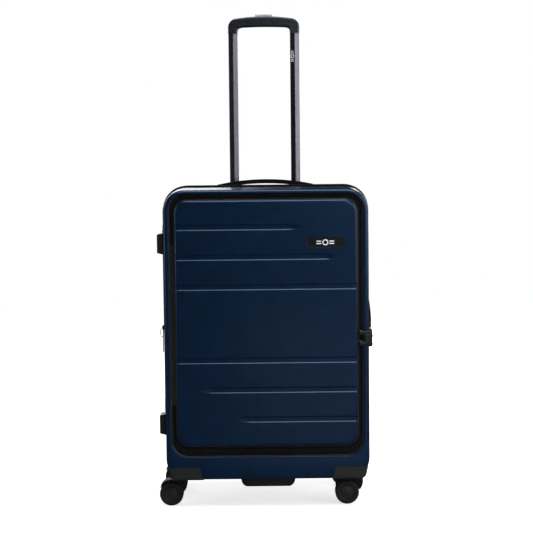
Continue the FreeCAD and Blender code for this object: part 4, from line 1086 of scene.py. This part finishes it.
def ribbon(a, b, wide, thick, lift):
    """Flat webbing from a to b across the depth, with a raised edge on each side; lift moves it back."""
    run = b - a
    way = run.normalized()
    across = Vector((-way.z, 0, way.x))
    n = 44
    front = ((-1, 0), (-0.92, -1), (-0.5, -0.8), (0, -0.86), (0.5, -0.8), (0.92, -1))
    section = front + tuple((-u, -v) for u, v in front)
    rings = []
    for i in range(n + 1):
        p = a + run * (i / n) + Vector((0, lift, 0))
        rings.append([p + across * (wide / 2 * u) + Vector((0, thick / 2 * v, 0)) for u, v in section])
    return skin(rings, cap_start=True, cap_end=True)


def straps():
    """Two crossed packing straps, their end loops and the buckle where they meet."""
    lo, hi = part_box("packing_straps")
    x = hi.x - 0.0140
    z0, z1 = lo.z + 0.0100, hi.z - 0.0100
    y = lo.y + 0.0008
    middle = (z0 + z1) / 2
    wide = 0.025
    corners = [Vector((-x, y, z0)), Vector((x, y, z1)), Vector((-x, y, z1)), Vector((x, y, z0))]
    rising, falling = [
        Shape(ribbon(a, b, wide, 0.0014, lift)).piece(name, "rear_half", "webbing", "webbing", 50.0, replaces)
        for name, a, b, lift, replaces in (
            ("strap_rising", *corners[:2], 0.0, ["packing_straps"]), ("strap_falling", *corners[2:], 0.0022, []),
        )
    ]
    loops = Shape()
    half_x, half_z = 0.0130, 0.0095
    for c in corners:
        for x0, x1, y0, y1 in (
            (-half_x - 0.001, -half_x + 0.001, lo.y, hi.y - 0.0001),
            (half_x - 0.001, half_x + 0.001, lo.y, hi.y - 0.0001),
            (-half_x, half_x, lo.y + 0.0044, lo.y + 0.0060),
            (-half_x, half_x, hi.y - 0.0020, hi.y - 0.0001),
        ):
            loops.add(span((c.x + x0, y0, c.z - half_z), (c.x + x1, y1, c.z + half_z), 0.0006))
    tabs = loops.piece("strap_loops", "rear_half", "webbing", "webbing")
    clasp = Shape(*[
        span((x0, lo.y - front, middle - half), (x1, lo.y - rear, middle + half), bevel)
        for x0, x1, front, rear, half, bevel in (
            (-0.021, 0.021, 0.004, 0.0006, 0.017, 0.0016), (-0.026, -0.0205, 0.003, 0.0012, 0.006, 0.0008),
            (0.0205, 0.026, 0.003, 0.0012, 0.006, 0.0008), (-0.008, 0.008, 0.0046, 0.0038, 0.010, 0.0003),
        )
    ]).piece("strap_buckle", "rear_half", "black", "black_plastic")


# ---- marks and small parts ----

def mark_shape(scale):
    """Plain mark on the X-Z plane: a ring with two level dashes on each side."""
    shape = Shape()
    for side in (-1, 1):
        for level in (-0.0021, 0.0021):
            at = (side * 0.0115 * scale, 0, level * scale)
            shape.add(block(at, (0.0085 * scale, 0.0003, 0.0019 * scale), 0.0001, 1))
    section = ((0.0034, -0.00015), (0.0054, -0.00015), (0.0054, 0.00015), (0.0034, 0.00015))
    shape.add(skin([
        [Vector((r * scale * c, y, r * scale * s)) for r, y in section] for c, s in circle(1.0, 40)
    ], closed=True))
    return shape.verts, shape.faces


def marks():
    lo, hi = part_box("name_plate")
    middle = (lo + hi) / 2
    place = Matrix.Translation((middle.x, lo.y - 0.00008, middle.z))
    Shape().add(mark_shape(1.15), place).piece("plate_mark", "lid", "mark", "plate")
    form = Form((hi.x - lo.x) / 2, lo.z, hi.z, 0.0018)
    rings = [
        [p + Vector((middle.x, 0, 0)) for p in ring(form, lo.y - h, d, 4)]
        for d, h in ((-0.0007, 0.0), (-0.0007, 0.0003), (-0.0001, 0.0004), (0.0003, 0.0002), (0.0003, -0.0002))
    ]
    Shape(skin(rings, closed=True)).piece("plate_edge", "lid", "zip_metal", "plate")
    lo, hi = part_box("trolley_tubes")
    ridge = Vector((hi.x - TUBE_W / 2, lo.y, 0))
    left = Vector((hi.x - TUBE_W, lo.y + 0.0045, 0))
    way = (ridge - left).normalized()
    at = (ridge + left) / 2
    normal = Vector((way.y, -way.x, 0))
    place = Matrix((Vector((0, 0, 1)), -normal, way)).transposed().to_4x4()
    place.translation = Vector((at.x, at.y, TUBE_MARK_Z)) + normal * 0.00012
    Shape().add(mark_shape(0.78), place).piece("tube_mark", "trolley", "mark", "tube")


SEGMENTS = {
    "a": (0, 1, True), "b": (0.5, 0.5, False), "c": (0.5, -0.5, False), "d": (0, -1, True),
    "e": (-0.5, -0.5, False), "f": (-0.5, 0.5, False), "g": (0, 0, True),
}
DIGITS = ("abcdef", "bc", "abged", "abgcd", "fgbc", "afgcd", "afgedc", "abc", "abcdefg", "abcfgd")


def dial_digits(node, body):
    """Digits 0 to 9 round a dial's rim, made of short raised bars."""
    lo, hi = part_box(node)
    centre = (lo + hi) / 2
    r = (hi.x - lo.x) / 2
    shape = Shape()
    for i, strokes in enumerate(DIGITS):
        a = 2 * math.pi * i / 10
        out = Vector((math.cos(a), 0, math.sin(a)))
        up = Vector((-math.sin(a), 0, math.cos(a)))
        place = Matrix((Vector((0, 1, 0)), out, up)).transposed().to_4x4()
        place.translation = centre + out * (r + 0.00002)
        for s in strokes:
            x, z, level = SEGMENTS[s]
            size = (0.0010, 0.00018, 0.00028) if level else (0.00028, 0.00018, 0.0008)
            shape.add(block((x * 0.0011, 0, z * 0.0007), size), place)
    shape.piece(node + "_digits", body, "mark", "dial")


def wheel_trim(tag, which):
    """Ribbed hub face and two fine lines on a wheel's outer side."""
    body = "wheel_%s_%s" % (tag, which)
    lo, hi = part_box(body)
    middle = (lo + hi) / 2
    fork_lo, fork_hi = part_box("caster_fork_" + tag)
    outwards = middle.y > (fork_lo.y + fork_hi.y) / 2
    centre = Vector((middle.x, hi.y if outwards else lo.y, middle.z))
    place = frame_of(centre, (1, 0, 0), (0, 0, -1 if outwards else 1))
    hub = [(0.0, -0.0009), (0.0135, -0.0009), (0.0135, -0.0003), (0.0122, -0.0001), (0.0070, -0.0004),
           (0.0060, 0.0), (0.0048, 0.0002), (0.0, 0.0002)]
    shape = Shape().add(lathe(hub, 40), place)
    for i in range(6):
        turn = place @ Matrix.Rotation(2 * math.pi * i / 6, 4, "Z")
        shape.add(block((0.0096, 0, -0.0002), (0.0056, 0.0018, 0.0007), 0.0002, 1), turn)
    shape.piece("hub_%s_%s" % (tag, which), body, "hub", "wheel")
    lines = Shape()
    for r in (0.0185, 0.0214):
        section = [(r, -0.0002), (r, 0.00022), (r + 0.0006, 0.00022), (r + 0.0006, -0.0002)]
        rings = [[Vector((q * c, q * s, h)) for q, h in section] for c, s in circle(1.0, 56)]
        lines.add(skin(rings, closed=True), place)
    lines.piece("tread_lines_%s_%s" % (tag, which), body, "tyre", "wheel")


def pull_ring():
    """Oval wire ring on the expansion slider's pull."""
    lo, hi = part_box("expansion_zip_pull")
    middle = (lo + hi) / 2
    centre = Vector((middle.x - 0.0026, middle.y, hi.z - 0.0140))
    path = [centre + Vector((0.0031 * c, 0, 0.0100 * s)) for c, s in circle(1.0, 36)]
    Shape(sweep(path, circle(0.0007, 8), closed=True)).piece(
        "expansion_pull_ring", "expansion_pull", "zip_metal", "zip_metal"
    )


def small_parts():
    marks()
    for i in (1, 2, 3):
        dial_digits("lock_dial_%d" % i, "dial_%d" % i)
    for tag in ("front_left", "front_right", "rear_left", "rear_right"):
        for which in ("outer", "inner"):
            wheel_trim(tag, which)
    pull_ring()


# ---- finishing ----

# finish: the beginnings of the names of the CAD nodes that have it
FINISHES = {
    "guard": ("corner_guards",),
    "black": ("side_feet", "bottom_grip", "trolley_base", "trolley_bezel", "handle_mounts", "lock_housing"),
    "tube": ("trolley_tubes",),
    "steel": ("trolley_guide_tubes", "release_rods", "lock_pins", "housing_screws", "caster_axle"),
    "grip": ("trolley_grip",),
    "button": ("release_button",),
    "rubber": ("top_handle", "side_handle"),
    "dial": ("lock_dial",),
    "chrome": ("lock_release",),
    "zip_metal": ("pocket_zip_slider", "main_zip_slider", "expansion_zip_slider", "expansion_zip_pull"),
    "plate": ("name_plate",),
    "fork": ("caster_fork",),
    "tyre": ("wheel_",),
}


def dress_all():
    """Gives each CAD node that shows its finish."""
    for node, obj in NODES.items():
        for finish, starts in FINISHES.items():
            if node.startswith(starts):
                obj.data.materials.clear()
                obj.data.materials.append(MATS[finish])


studio()
dress_all()
front_shell()
lid()
rear_shell()
zip_bands()
gusset()
main_hinge()
pocket_zip()
lid_hinge()
rear_lining()
pocket_back()
lid_lining()
straps()
small_parts()
